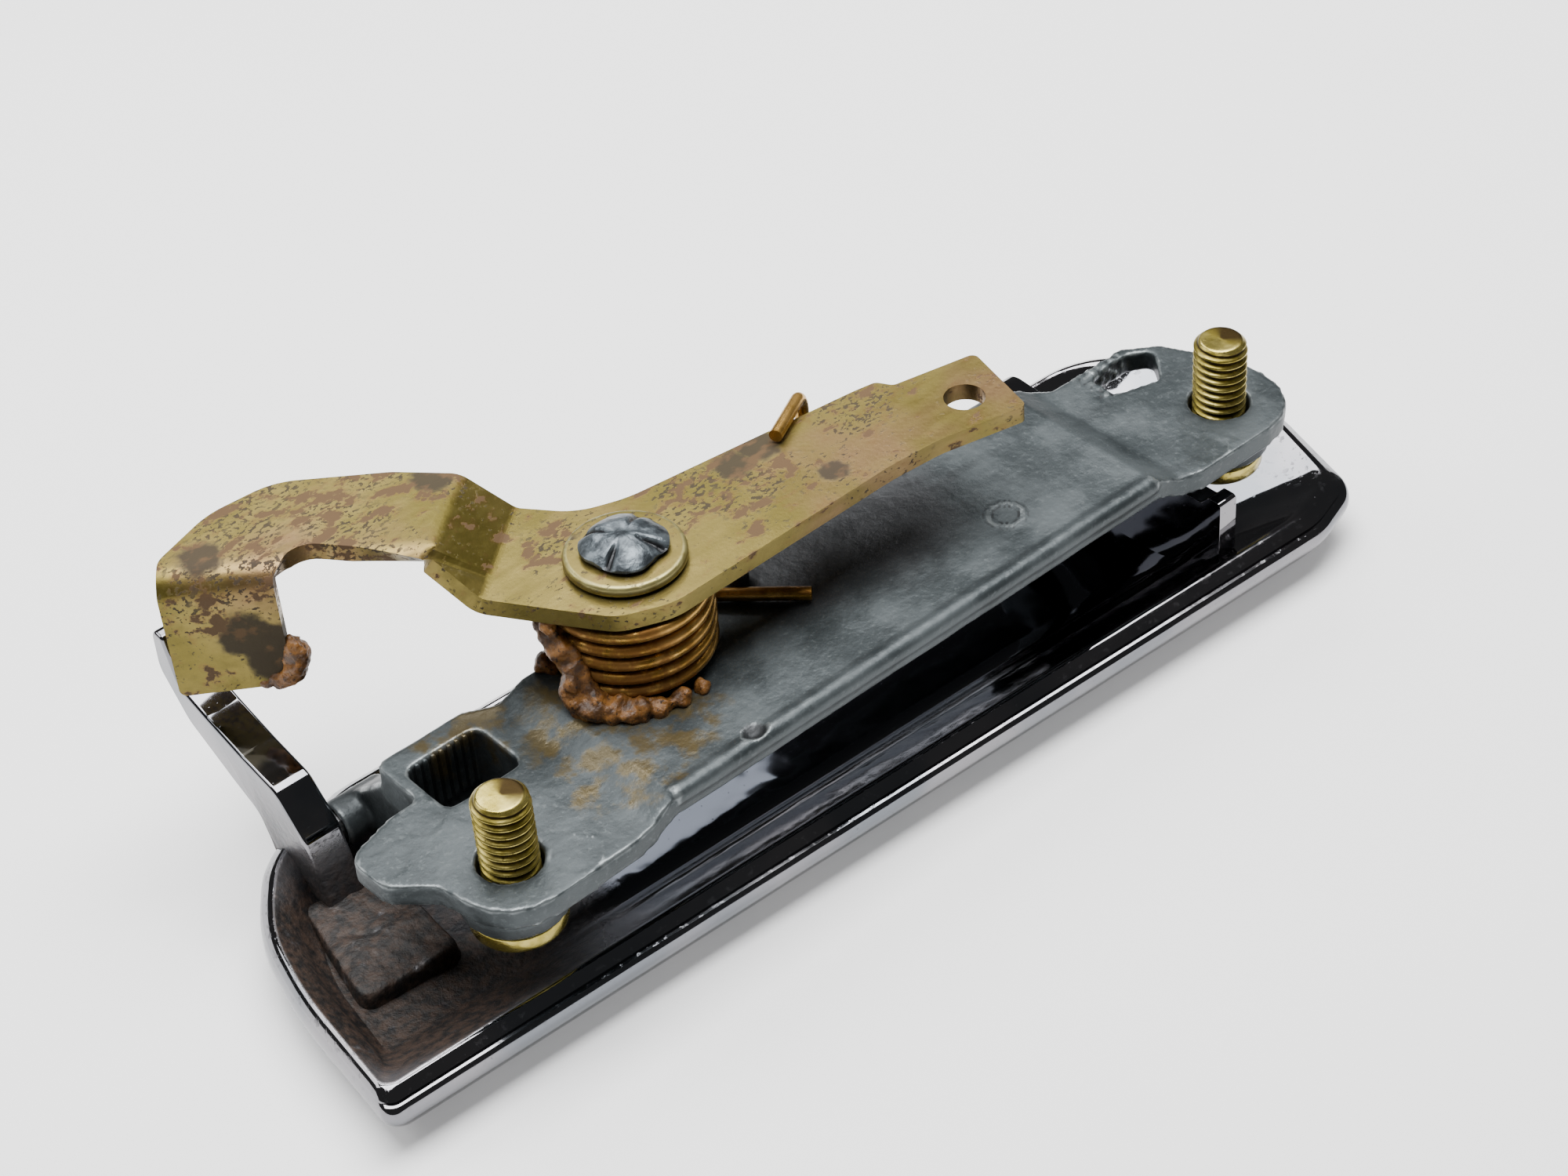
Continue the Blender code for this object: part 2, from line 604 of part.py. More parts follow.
def tangent_angle(point, clockwise):
    """Where on the coil a straight leg to this point leaves it, as an angle round the pivot."""
    dx, dy = point[0] - PIVOT_X, point[1] - PIVOT_Y
    spread = math.acos(COIL_RADIUS / math.hypot(dx, dy))
    towards = math.atan2(dy, dx)
    return towards + spread if clockwise else towards - spread


def leg_peg_place():
    """Where the peg stands that the lower leg bears on."""
    angle = tangent_angle(LOWER_END, True)
    run = (math.sin(angle), -math.cos(angle))
    side = (math.cos(angle), math.sin(angle))
    offset = WIRE / 2 + TOUCH_GAP + LEG_PEG_RADIUS
    return tuple(LOWER_END[i] - run[i] * LEG_PEG_BACK + side[i] * offset for i in (0, 1))


def spring(home):
    """The torsion spring: lower leg, coil, upper leg and the hook over the lever's far edge."""
    low, high = coil_levels()
    first = tangent_angle(LOWER_END, True)
    last = tangent_angle(HOOK_AT, False)
    turns = 4 + ((last - first) % (2 * math.pi)) / (2 * math.pi)
    points = [(*LOWER_END, low)]
    count = round(turns * COIL_POINTS)
    for k in range(count + 1):
        share = k / count
        angle = first + turns * 2 * math.pi * share
        x = PIVOT_X + COIL_RADIUS * math.cos(angle)
        y = PIVOT_Y + COIL_RADIUS * math.sin(angle)
        points.append((x, y, low + (high - low) * share))
    run = (-math.sin(last), math.cos(last))
    rise = LEVER_TOP + TOUCH_GAP + WIRE / 2 - high
    bow = rise / 2
    steps = 6
    for k in range(steps + 1):
        angle = math.pi * k / steps
        out = bow * math.sin(angle) * 0.6
        climb = bow - bow * math.cos(angle)
        points.append((HOOK_AT[0] + run[0] * out, HOOK_AT[1] + run[1] * out, high + climb))
    end = (HOOK_AT[0] - run[0] * HOOK_RETURN, HOOK_AT[1] - run[1] * HOOK_RETURN)
    points.append((*end, high + rise))
    return wire("torsion_spring", points, WIRE / 2, home)


# ---------------------------------------------------------------- flap
def flap_ring(outline, box, inset, z):
    """The flap's outline drawn in by (left, right, near, far) and set at a height."""
    left, right, near, far = box
    dl, dr, dn, df = inset
    ring = []
    for x, y in outline:
        sx = (x - left) / (right - left)
        sy = (y - near) / (far - near)
        ring.append((left + dl + sx * (right - left - dl - dr), near + dn + sy * (far - near - dn - df), z))
    return ring


def flap_dish(home):
    """The dish: rings down the outer face, and rings down the inner face, joined over the rim."""
    outline = rounded(FLAP_CORNERS, 4)
    xs = [p[0] for p in outline]
    ys = [p[1] for p in outline]
    box = (min(xs), max(xs), min(ys), max(ys))
    floor = RIM_Z - FLAP_DEPTH + FLAP_WALL
    base = RIM_Z - FLAP_DEPTH
    inner = [
        ((6.8, 20, 12.6, 7.2), floor), ((5.6, 17, 10.6, 5.4), floor + 0.5),
        ((4.4, 9.0, 7.4, 4.0), floor + 2.3), ((3.2, 3.6, 4.2, 3.0), RIM_Z - 1.0),
        ((2.3, 2.0, 2.8, 2.2), RIM_Z),
    ]
    outer = [
        ((1.8, 1.3, 2.0, 1.6), RIM_Z), ((0.7, 0.5, 0.8, 0.6), RIM_Z - 0.7), ((0, 0, 0, 0), RIM_Z - 2.2),
        ((0.5, 0.8, 0.5, 0.5), RIM_Z - 4.0), ((2.2, 3.4, 2.0, 2.2), base + 1.7),
        ((6.0, 9.0, 5.4, 6.0), base + 0.5), ((11.0, 17.0, 11.0, 11.0), base),
    ]
    bm = bmesh.new()
    rings = []
    for inset, z in inner + outer:
        rings.append([bm.verts.new(p) for p in flap_ring(outline, box, inset, z)])
    count = len(outline)
    for upper, lower in zip(rings, rings[1:]):
        for i in range(count):
            j = (i + 1) % count
            bm.faces.new((upper[i], lower[i], lower[j], upper[j]))
    bm.faces.new(rings[0])
    bm.faces.new(list(reversed(rings[-1])))
    bmesh.ops.recalc_face_normals(bm, faces=bm.faces)
    return mesh_object("pull_flap", bm, home)


def arm_shape():
    """The arm's side view, (y, z): front from the land up to the tip, then down the back."""
    buried = RIM_Z - FLAP_DEPTH + 1.0
    return rounded([
        (20.4, buried, 0), (22.2, -11.6, 3.0), (23.6, -8.0, 2.5), (27.6, -3.6, 3.0), (33.4, -2.4, 6.0),
        (39.3, -0.8, 5.0), (43.6, 0.6, 2.0), (45.2, 6.4, 0.6), (47.2, 6.6, 1.0), (47.4, 1.2, 3.0),
        (43.4, -3.9, 4.0), (36.2, -7.8, 6.0), (32.4, -9.6, 3.0), (31.0, -12.6, 2.0), (30.4, RIM_Z - 2.6, 0),
        (27.0, buried, 0),
    ], 3)


def flap(home, tools):
    """The pull flap with the land, the arm and the ear that its hinge pins pass through."""
    body = flap_dish(home)
    buried = RIM_Z - FLAP_DEPTH + 1.0
    land_shape = rounded([(-14.4, 8.4, 1.5), (-2.6, 7.4, 1.5), (-2.0, 20.4, 1.0), (-3.4, 23.6, 1.0),
                          (-11.3, 23.0, 1.0)], 2)
    land = plate("arm_land", land_shape, buried, LAND_TOP, tools)
    boolean(body, land, "UNION")
    arm = plate("arm", arm_shape(), ARM_LEFT, ARM_LEFT + ARM_WIDTH, tools, "X")
    boolean(body, arm, "UNION")
    ear_top = -PLATE_THICKNESS - BOSS_DEPTH - 2 * TOUCH_GAP
    around = HINGE_BARREL_RADIUS + EAR_WEB
    ear_shape = rounded([
        (-8.4, RIM_Z - 1.2, 0), (-8.4, -5.2, 0.5), (-6.6, -5.2, 0.5), (-5.6, ear_top, 0.5),
        (HINGE_Y - around, ear_top - 0.3, 2.0), (HINGE_Y + around * 0.2, HINGE_Z + around, 3.0),
        (HINGE_Y + around, HINGE_Z + around * 0.2, 2.5), (HINGE_Y + around * 0.8, RIM_Z - 4.4, 0),
        (20.0, buried, 0), (2.0, buried, 0),
    ], 3)
    ear = plate("ear", ear_shape, EAR_LEFT, EAR_LEFT + EAR_WIDTH, tools, "X")
    boolean(body, ear, "UNION")
    bore = PIN_RADIUS + TURN_GAP
    holes = (("arm_pin_hole", LEFT_PIN_START - TOUCH_GAP, LEFT_PIN_END),
             ("ear_pin_hole", RIGHT_PIN_START, EAR_LEFT + EAR_WIDTH + 2.0))
    for name, start, end in holes:
        hole = drum(name, (HINGE_Y, HINGE_Z), bore, start, end, tools, "X", segments=20)
        boolean(body, hole, "DIFFERENCE")
    return body


# ---------------------------------------------------------------- assembly
def stand_on_origin(root, parts):
    """Move the whole model so that its box stands on the origin; returns the move in millimetres."""
    bpy.context.view_layer.update()
    graph = bpy.context.evaluated_depsgraph_get()
    corners = []
    for part in parts:
        seen = part.evaluated_get(graph)
        mesh = seen.to_mesh()
        corners += [seen.matrix_world @ v.co for v in mesh.vertices]
        seen.to_mesh_clear()
    low = Vector([min(c[i] for c in corners) for i in range(3)])
    high = Vector([max(c[i] for c in corners) for i in range(3)])
    move = Vector((-(low.x + high.x) / 2, -(low.y + high.y) / 2, -low.z))
    root.location = move
    return move


def main():
    for thing in list(bpy.data.objects):
        bpy.data.objects.remove(thing)
    parts_home = collection("flap_door_handle")
    tools_home = collection("cutters")

    zinc = material("zinc_casting", (0.12, 0.14, 0.15), 0.9, 0.5)
    chrome = material("chrome", (0.60, 0.60, 0.62), 1.0, 0.08)
    passivated = material("yellow_zinc", (0.29, 0.24, 0.09), 0.9, 0.4)
    sprung = material("spring_steel", (0.33, 0.19, 0.05), 0.9, 0.35)
    steel = material("steel", (0.35, 0.35, 0.36), 1.0, 0.4)

    pieces = [
        (bracket(parts_home, tools_home), zinc),
        (stud("left_stud", 0.0, parts_home), passivated),
        (stud("right_stud", STUD_SPACING, parts_home), passivated),
        (hinge_pin("left_hinge_pin", LEFT_PIN_START, LEFT_PIN_END, parts_home), steel),
        (hinge_pin("right_hinge_pin", RIGHT_PIN_START, RIGHT_PIN_END, parts_home), steel),
        (washer(parts_home), passivated),
        (lever(parts_home, tools_home), passivated),
        (spring(parts_home), sprung),
        (flap(parts_home, tools_home), chrome),
    ]
    root = bpy.data.objects.new("handle_root", None)
    parts_home.objects.link(root)
    for piece, finish in pieces:
        smooth(piece, finish)
        piece.parent = root
    for tool in tools_home.objects:
        tool.parent = root
    move = stand_on_origin(root, [piece for piece, _ in pieces])
    print("left stud axis at", [round(v * 1000, 3) for v in move], "mm")


main()
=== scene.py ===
# %% [markdown]
# # A pull-flap door handle, inner side up
# The handle lies on its chromed outer face. What shows is the side that goes into the door: a die-cast
# zinc bracket, two threaded studs, and a pressed lever on a staked pivot with a torsion spring round it.
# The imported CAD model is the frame: every size and joint comes from it, and each cell below swaps one plain
# CAD solid for a finished piece in the same place.

# %% Load the frame
import math

import bmesh
import bpy
from mathutils import Matrix, Vector, noise


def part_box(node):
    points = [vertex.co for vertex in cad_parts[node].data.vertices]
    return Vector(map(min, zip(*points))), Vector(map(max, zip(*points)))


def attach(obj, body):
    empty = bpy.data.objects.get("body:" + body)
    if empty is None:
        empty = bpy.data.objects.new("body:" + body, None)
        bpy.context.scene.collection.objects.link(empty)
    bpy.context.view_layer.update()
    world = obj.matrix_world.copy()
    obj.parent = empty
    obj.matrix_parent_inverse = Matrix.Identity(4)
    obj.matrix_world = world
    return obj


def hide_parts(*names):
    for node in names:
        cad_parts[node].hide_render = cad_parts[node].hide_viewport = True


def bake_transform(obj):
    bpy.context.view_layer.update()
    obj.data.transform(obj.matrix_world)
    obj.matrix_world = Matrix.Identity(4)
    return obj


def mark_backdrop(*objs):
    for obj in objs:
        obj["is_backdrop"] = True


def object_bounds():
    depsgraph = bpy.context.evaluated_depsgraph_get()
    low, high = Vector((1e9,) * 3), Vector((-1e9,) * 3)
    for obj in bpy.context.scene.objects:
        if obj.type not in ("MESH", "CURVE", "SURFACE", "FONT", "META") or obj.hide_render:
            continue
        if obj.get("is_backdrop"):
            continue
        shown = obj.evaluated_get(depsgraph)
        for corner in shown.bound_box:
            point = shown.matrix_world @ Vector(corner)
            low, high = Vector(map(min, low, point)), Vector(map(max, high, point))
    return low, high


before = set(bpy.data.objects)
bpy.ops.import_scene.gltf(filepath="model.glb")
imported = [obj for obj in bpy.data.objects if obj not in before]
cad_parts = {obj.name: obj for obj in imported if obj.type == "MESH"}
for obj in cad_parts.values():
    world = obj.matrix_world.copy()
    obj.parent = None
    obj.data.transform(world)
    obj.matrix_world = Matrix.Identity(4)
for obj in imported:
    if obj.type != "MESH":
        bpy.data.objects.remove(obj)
cad_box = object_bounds()

# %% [markdown]
# ## Measuring from the left stud
# A fitter measures this handle from the left stud, where it bolts to the door. The same is done here: x runs
# to the right stud, y to the hinge, z into the door, all in millimetres. One function turns such a place
# into the frame's metres, so a piece can be drawn in workshop numbers and still land exactly where it
# should. Pieces that touch on the real handle stand 0.3 mm apart in the frame, and are drawn so here too.

# %% The left stud's axis at the top of its pad
MM = 0.001
STUD_TOP = 8.5
PLATE, BOSS_DEPTH, PLATEAU = 2.6, 3.2, 1.4
BARREL_RADIUS = 2.6
GAP = 0.3
low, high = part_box("left_stud")
ORIGIN = Vector(((low[0] + high[0]) / 2, (low[1] + high[1]) / 2, high[2] - STUD_TOP * MM))
low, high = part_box("right_stud")
SPACING = ((low[0] + high[0]) / 2 - ORIGIN.x) / MM


def place(x, y, z):
    """A point in the frame, in metres, from workshop millimetres."""
    return ORIGIN + Vector((x, y, z)) * MM


def measured(node):
    """The two corners of a CAD node in workshop millimetres."""
    return [(Vector(corner) - ORIGIN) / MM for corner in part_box(node)]


washer_low, washer_high = measured("pivot_washer")
PIVOT = ((washer_low.x + washer_high.x) / 2, (washer_low.y + washer_high.y) / 2)
pin_low, pin_high = measured("left_hinge_pin")
HINGE = ((pin_low.y + pin_high.y) / 2, (pin_low.z + pin_high.z) / 2)
print("studs", round(SPACING, 1), "mm apart, pivot at", [round(v, 1) for v in PIVOT],
      "hinge at", [round(v, 1) for v in HINGE])

# %% [markdown]
# ## Turning a drawing into a piece
# Every piece is drawn in a bmesh in workshop millimetres, then moved into the frame in one go, so that its
# object stays at the origin. Modifiers such as a bevel or a cut are evaluated once and stored as a plain
# mesh, which is what the export wants.


# %% Mesh helpers
def new_object(name, bm):
    """An object from a bmesh drawn in workshop millimetres."""
    bmesh.ops.transform(bm, matrix=Matrix.Translation(ORIGIN) @ Matrix.Scale(MM, 4), verts=bm.verts)
    bmesh.ops.recalc_face_normals(bm, faces=bm.faces)
    mesh = bpy.data.meshes.new(name)
    bm.to_mesh(mesh)
    bm.free()
    made = bpy.data.objects.new(name, mesh)
    bpy.context.scene.collection.objects.link(made)
    return made


def outward(thing):
    """Turn every face of a piece outwards."""
    bm = bmesh.new()
    bm.from_mesh(thing.data)
    bmesh.ops.recalc_face_normals(bm, faces=bm.faces)
    if bm.calc_volume(signed=True) < 0:
        bmesh.ops.reverse_faces(bm, faces=bm.faces)
    bm.to_mesh(thing.data)
    bm.free()


def settle(thing):
    """Store what the modifiers make as the object's own mesh, and take the modifiers off."""
    bpy.context.view_layer.update()
    seen = thing.evaluated_get(bpy.context.evaluated_depsgraph_get())
    mesh = bpy.data.meshes.new_from_object(seen)
    mesh.name = thing.name
    if thing.type == "MESH":
        thing.modifiers.clear()
        thing.data = mesh
        return thing
    name = thing.name
    bpy.data.objects.remove(thing)
    made = bpy.data.objects.new(name, mesh)
    bpy.context.scene.collection.objects.link(made)
    return made


def round_edges(thing, width_mm, segments=3, angle=35):
    """Soften the edges sharper than the angle."""
    bevel = thing.modifiers.new("soft edges", "BEVEL")
    bevel.width = width_mm * MM
    bevel.segments = segments
    bevel.limit_method = "ANGLE"
    bevel.angle_limit = math.radians(angle)
    bevel.miter_outer = "MITER_ARC"
    bevel.harden_normals = False


def cut(thing, tool):
    """Cut a tool out of a piece, then remove the tool."""
    hole = thing.modifiers.new("cut", "BOOLEAN")
    hole.operation = "DIFFERENCE"
    hole.solver = "EXACT"
    hole.object = tool
    settle(thing)
    bpy.data.objects.remove(tool)


def finish_piece(thing, finish, body, node=None, sharp=40, flat=False):
    """Give a piece its finish, its shading and the CAD body it moves with; flat keeps its big faces flat."""
    thing.data.materials.clear()
    thing.data.materials.append(finish)
    thing.data.shade_smooth()
    if sharp:
        thing.data.set_sharp_from_angle(angle=math.radians(sharp))
    if flat:
        weigh = thing.modifiers.new("flat faces", "WEIGHTED_NORMAL")
        weigh.weight = 100
        weigh.keep_sharp = True
        settle(thing)
    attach(thing, body)
    if node:
        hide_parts(node)
    print(f"{thing.name}: {sum(len(p.vertices) - 2 for p in thing.data.polygons)} triangles on {body}")


# %% Outline helpers
def clamp(value):
    """The value kept between 0 and 1."""
    return max(0.0, min(1.0, value))


def unit(x, y):
    """A unit vector in plan."""
    length = math.hypot(x, y)
    return x / length, y / length


def rounded(corners, steps=8):
    """The corners (x, y, radius) of an outline, each turned into an arc where it has a radius."""
    points = []
    for i, (x, y, radius) in enumerate(corners):
        if radius <= 0:
            points.append((x, y))
            continue
        before, after = corners[i - 1], corners[(i + 1) % len(corners)]
        ax, ay = unit(before[0] - x, before[1] - y)
        bx, by = unit(after[0] - x, after[1] - y)
        half = math.acos(max(-1.0, min(1.0, ax * bx + ay * by))) / 2
        run = radius / math.tan(half)
        mx, my = unit(ax + bx, ay + by)
        cx, cy = x + mx * radius / math.sin(half), y + my * radius / math.sin(half)
        start = math.atan2(y + ay * run - cy, x + ax * run - cx)
        end = math.atan2(y + by * run - cy, x + bx * run - cx)
        turn = (end - start + math.pi) % (2 * math.pi) - math.pi
        for k in range(steps + 1):
            angle = start + turn * k / steps
            points.append((cx + radius * math.cos(angle), cy + radius * math.sin(angle)))
    return points


def even(points, spacing):
    """The same closed outline with points no further apart than the spacing."""
    out = []
    for (x, y), (u, v) in zip(points, points[1:] + points[:1]):
        count = max(1, math.ceil(math.hypot(u - x, v - y) / spacing))
        out += [(x + (u - x) * k / count, y + (v - y) * k / count) for k in range(count)]
    return out


def stitch(bm, rings):
    """A band of quads between each closed ring of points and the next."""
    for one, two in zip(rings, rings[1:]):
        for i in range(len(one)):
            j = (i + 1) % len(one)
            bm.faces.new((one[i], two[i], two[j], one[j]))


def plate(side_view, left_x, right_x):
    """A bmesh of a side view, drawn in Y and Z, given a thickness along X."""
    bm = bmesh.new()
    rings = [[bm.verts.new((x, y, z)) for y, z in side_view] for x in (left_x, right_x)]
    stitch(bm, rings)
    for ring in rings:
        bm.faces.new(ring)
    return bm


def turned(profile, centre, segments=96):
    """A bmesh of a closed (radius, height) profile turned round an upright axis."""
    bm = bmesh.new()
    rings = []
    for k in range(segments):
        angle = 2 * math.pi * k / segments
        c, s = math.cos(angle), math.sin(angle)
        rings.append([bm.verts.new((centre[0] + r * c, centre[1] + r * s, z)) for r, z in profile])
    stitch(bm, rings + rings[:1])
    bmesh.ops.remove_doubles(bm, verts=bm.verts, dist=1e-5)
    return bm


def rod(centre, radius, left_x, right_x):
    """A bmesh of a straight round tool along X."""
    bm = bmesh.new()
    bmesh.ops.create_cone(bm, cap_ends=True, segments=48, radius1=radius, radius2=radius,
                          depth=right_x - left_x)
    bmesh.ops.rotate(bm, verts=bm.verts, matrix=Matrix.Rotation(math.pi / 2, 3, "Y"))
    bmesh.ops.translate(bm, verts=bm.verts, vec=((left_x + right_x) / 2, *centre))
    return bm


def roughly(point, size_mm, seed=0.0):
    """Smooth noise from -1 to 1 whose lumps are about this large."""
    return noise.noise(Vector(point) / size_mm + Vector((seed, seed * 1.7, seed * 0.3)))


# %% [markdown]
# ## Building finishes from nodes
# Each finish is a small node tree that reads Object coordinates. All pieces sit at the origin, so those
# coordinates are metres in the frame, and a pattern can be sized in real millimetres: a noise of 2 mm is a
# noise whose scale is 1 / 0.002. A helper adds a node with its settings and links in one line, and short
# helpers on top of it make the few patterns that a metal surface needs.


# %% Shader helpers
def srgb(code):
    """A linear colour from an sRGB hex code."""
    channels = [int(code[i:i + 2], 16) / 255 for i in (1, 3, 5)]
    return tuple(c / 12.92 if c <= 0.04045 else ((c + 0.055) / 1.055) ** 2.4 for c in channels) + (1.0,)


def add(tree, kind, settings=None, **inputs):
    """A node with its settings, and its inputs set or linked; inputs go by name or, as _0, by number."""
    made = tree.nodes.new(kind)
    for key, value in (settings or {}).items():
        setattr(made, key, value)
    for key, value in inputs.items():
        socket = made.inputs[int(key[1:])] if key[1:].isdigit() else made.inputs[key.replace("_", " ")]
        if isinstance(value, bpy.types.NodeSocket):
            tree.links.new(value, socket)
        else:
            socket.default_value = value
    return made


def new_finish(name, **uniform):
    """A material and its tree; the uniform numbers go straight on the shader."""
    made = bpy.data.materials.new(name)
    made.use_nodes = True
    shader = made.node_tree.nodes["Principled BSDF"]
    for key, value in uniform.items():
        shader.inputs[key.replace("_", " ")].default_value = value
    return made, made.node_tree, shader


def where(tree):
    """Object coordinates in metres."""
    return add(tree, "ShaderNodeTexCoord").outputs["Object"]


def grain(tree, size_mm, detail=3.0, stretch=(1, 1, 1), turn=0.0, shift=0.0):
    """Noise with features of this size, from 0 to 1, stretched along the axes if asked."""
    spread = tuple(1 / (size_mm * MM * s) for s in stretch)
    mapped = add(tree, "ShaderNodeMapping", _0=where(tree), Location=(shift, shift, shift),
                 Rotation=(0, 0, turn), Scale=spread)
    return add(tree, "ShaderNodeTexNoise", _0=mapped.outputs[0], Scale=1.0, Detail=detail,
               Roughness=0.55).outputs[0]


def band(tree, value, low_value, high_value):
    """A smooth step from 0 to 1 as a value passes from low to high."""
    return add(tree, "ShaderNodeMapRange", {"interpolation_type": "SMOOTHSTEP"}, _0=value,
               _1=low_value, _2=high_value).outputs[0]


def maths(tree, operation, a, b=0.0):
    """One sum on two values."""
    return add(tree, "ShaderNodeMath", {"operation": operation}, _0=a, _1=b).outputs[0]


def mix(tree, share, a, b):
    """Colour a turning into colour b."""
    return add(tree, "ShaderNodeMix", {"data_type": "RGBA"}, _0=share, _6=a, _7=b).outputs[2]


def between(tree, share, a, b):
    """Number a turning into number b."""
    return add(tree, "ShaderNodeMix", {"data_type": "FLOAT"}, _0=share, _2=a, _3=b).outputs[0]


def spot(tree, centre, radius_mm, soft_mm, ragged=0.0, size_mm=2.0):
    """1 within a radius of a place, falling to 0, with a ragged border if asked."""
    away = add(tree, "ShaderNodeVectorMath", {"operation": "DISTANCE"}, _0=where(tree),
               _1=place(*centre)).outputs["Value"]
    if ragged:
        shake = maths(tree, "MULTIPLY", grain(tree, size_mm, 4.0), -ragged * MM)
        away = maths(tree, "ADD", away, shake)
    return band(tree, away, (radius_mm + soft_mm) * MM, radius_mm * MM)


def attribute(tree, name):
    """A number stored on the mesh's points."""
    return add(tree, "ShaderNodeAttribute", {"attribute_name": name}).outputs["Fac"]


def bumped(tree, shader, height, depth_mm):
    """Let a height pattern tilt the surface."""
    tilt = add(tree, "ShaderNodeBump", Height=height, Distance=depth_mm * MM, Strength=1.0)
    tree.links.new(tilt.outputs[0], shader.inputs["Normal"])


def feed(tree, shader, **sockets):
    """Link patterns to the shader's sockets."""
    for key, value in sockets.items():
        tree.links.new(value, shader.inputs[key.replace("_", " ")])


# %% [markdown]
# ## Bare zinc die casting
# The bracket came out of a steel die and was never plated. Bare zinc turns a dull blue-grey with a cloudy
# skin. Handling polishes its corners pale, and oil from the spring has soaked into the skin in yellow-brown
# pools. Its hollows are darkened as painted shade. The corners and hollows are measured on the mesh itself
# and stored on its points as `edge` and `hollow`, because no noise pattern can know where they are.

# %% The zinc finish
bare_zinc, tree, shader = new_finish("bare_zinc_casting", Metallic=0.55)
cloud = band(tree, grain(tree, 7.0, 6.0), 0.36, 0.66)
skin = mix(tree, cloud, srgb("#33393b"), srgb("#4a5052"))
speckle = band(tree, grain(tree, 0.55, 2.0), 0.56, 0.72)
skin = mix(tree, maths(tree, "MULTIPLY", speckle, 0.35), skin, srgb("#5e6465"))
flow = band(tree, grain(tree, 2.2, 4.0, stretch=(4, 1, 1), turn=-0.1), 0.5, 0.75)
skin = mix(tree, maths(tree, "MULTIPLY", flow, 0.35), skin, srgb("#282c2e"))
oil_seen = band(tree, grain(tree, 3.0, 5.0), 0.42, 0.6)
pools = [((14.5, 2.6, PLATEAU), 2.4, 2.2, 1.6), ((17.6, 0.2, PLATEAU), 1.2, 1.8, 2.0),
         ((22.6, 4.0, PLATEAU), 2.0, 2.6, 1.8), ((18.2, 8.6, PLATEAU), 3.2, 3.0, 2.0),
         ((8.0, 18.0, 0.0), 2.0, 2.0, 1.5)]
oil = None
for centre, radius, soft, ragged in pools:
    pool = spot(tree, centre, radius, soft, ragged * 3)
    oil = pool if oil is None else maths(tree, "MAXIMUM", oil, pool)
oil = maths(tree, "MULTIPLY", oil, oil_seen)
skin = mix(tree, maths(tree, "MULTIPLY", oil, 0.6), skin, srgb("#6a5a30"))
shade = spot(tree, (57.5, 12.5, PLATEAU), 3.5, 8.0, 6.0)
shade = maths(tree, "MAXIMUM", shade, spot(tree, (47.5, 12.5, PLATEAU), 3.0, 6.0, 5.0))
skin = mix(tree, maths(tree, "MULTIPLY", shade, 0.6), skin, srgb("#2f2c2e"))
corner = band(tree, attribute(tree, "edge"), 0.12, 0.5)
corner = maths(tree, "MULTIPLY", corner, band(tree, grain(tree, 1.6, 3.0), 0.3, 0.6))
skin = mix(tree, maths(tree, "MULTIPLY", corner, 0.6), skin, srgb("#868c8d"))
# Painted shade: darker in the hollows, the left pocket, round the studs, on faces that look down and in the
# knock in the lip.
painted_hollow_shade = maths(tree, "MULTIPLY", band(tree, attribute(tree, "hollow"), 0.1, 0.5), 0.85)
painted_hollow_shade = maths(tree, "MAXIMUM", painted_hollow_shade, spot(tree, (27.4, -4.9, 1.0), 0.7, 0.7, 0.8))
skin = mix(tree, painted_hollow_shade, skin, srgb("#26282a"))
rough = between(tree, cloud, 0.42, 0.56)
rough = between(tree, corner, rough, 0.3)
feed(tree, shader, Base_Color=skin, Roughness=between(tree, oil, rough, 0.28))
bumped(tree, shader, maths(tree, "ADD", grain(tree, 0.7, 4.0), maths(tree, "MULTIPLY", cloud, 1.5)), 0.05)
print("finish:", bare_zinc.name, len(tree.nodes), "nodes")

# %% [markdown]
# ## Chrome plate
# The flap is plated, so its colour is what it mirrors. Real plate is never a perfect mirror: it is a little
# wavy, it has hazy streaks along the handle, and where water has sat it has dull pits. Down in the tray the
# colour is darkened as painted shade, for the dark bracket underside that the tray mirrors. At the arm's foot
# years of road dirt have baked on, and there the finish turns from metal to brown crust.

# %% The chrome finish
chrome, tree, shader = new_finish("chrome_plate")
pits = band(tree, grain(tree, 0.5, 2.0), 0.70, 0.76)
rim_pits = maths(tree, "MULTIPLY", band(tree, grain(tree, 0.9, 5.0), 0.57, 0.64), attribute(tree, "rim"))
worn = maths(tree, "MAXIMUM", maths(tree, "MULTIPLY", pits, 0.4), maths(tree, "MULTIPLY", rim_pits, 0.4))
crust = maths(tree, "MULTIPLY", attribute(tree, "grime"), band(tree, grain(tree, 2.4, 6.0), 0.12, 0.4))
crust_colour = mix(tree, band(tree, grain(tree, 1.1, 5.0), 0.35, 0.68), srgb("#0c0807"), srgb("#35271e"))
clean = mix(tree, band(tree, grain(tree, 16.0, 3.0), 0.35, 0.65), srgb("#6c6f74"), srgb("#828083"))
# Painted shade: the tray is darkened where it mirrors the bracket's dark underside.
clean = mix(tree, attribute(tree, "tray_shade"), clean, srgb("#33363c"))
clean = mix(tree, worn, clean, srgb("#3c3b3d"))
haze = band(tree, grain(tree, 5.0, 5.0, stretch=(5, 1, 1)), 0.45, 0.75)
polish = between(tree, haze, 0.05, 0.14)
feed(tree, shader, Base_Color=mix(tree, crust, clean, crust_colour),
     Metallic=between(tree, crust, 1.0, 0.1),
     Roughness=between(tree, crust, between(tree, worn, polish, 0.45), 0.62))
waves = maths(tree, "ADD", maths(tree, "MULTIPLY", grain(tree, 9.0, 2.0), 0.5),
              maths(tree, "MULTIPLY", worn, -0.05))
waves = maths(tree, "ADD", waves, maths(tree, "MULTIPLY", crust, grain(tree, 0.8, 5.0)))
bumped(tree, shader, waves, 0.22)
print("finish:", chrome.name, len(tree.nodes), "nodes")
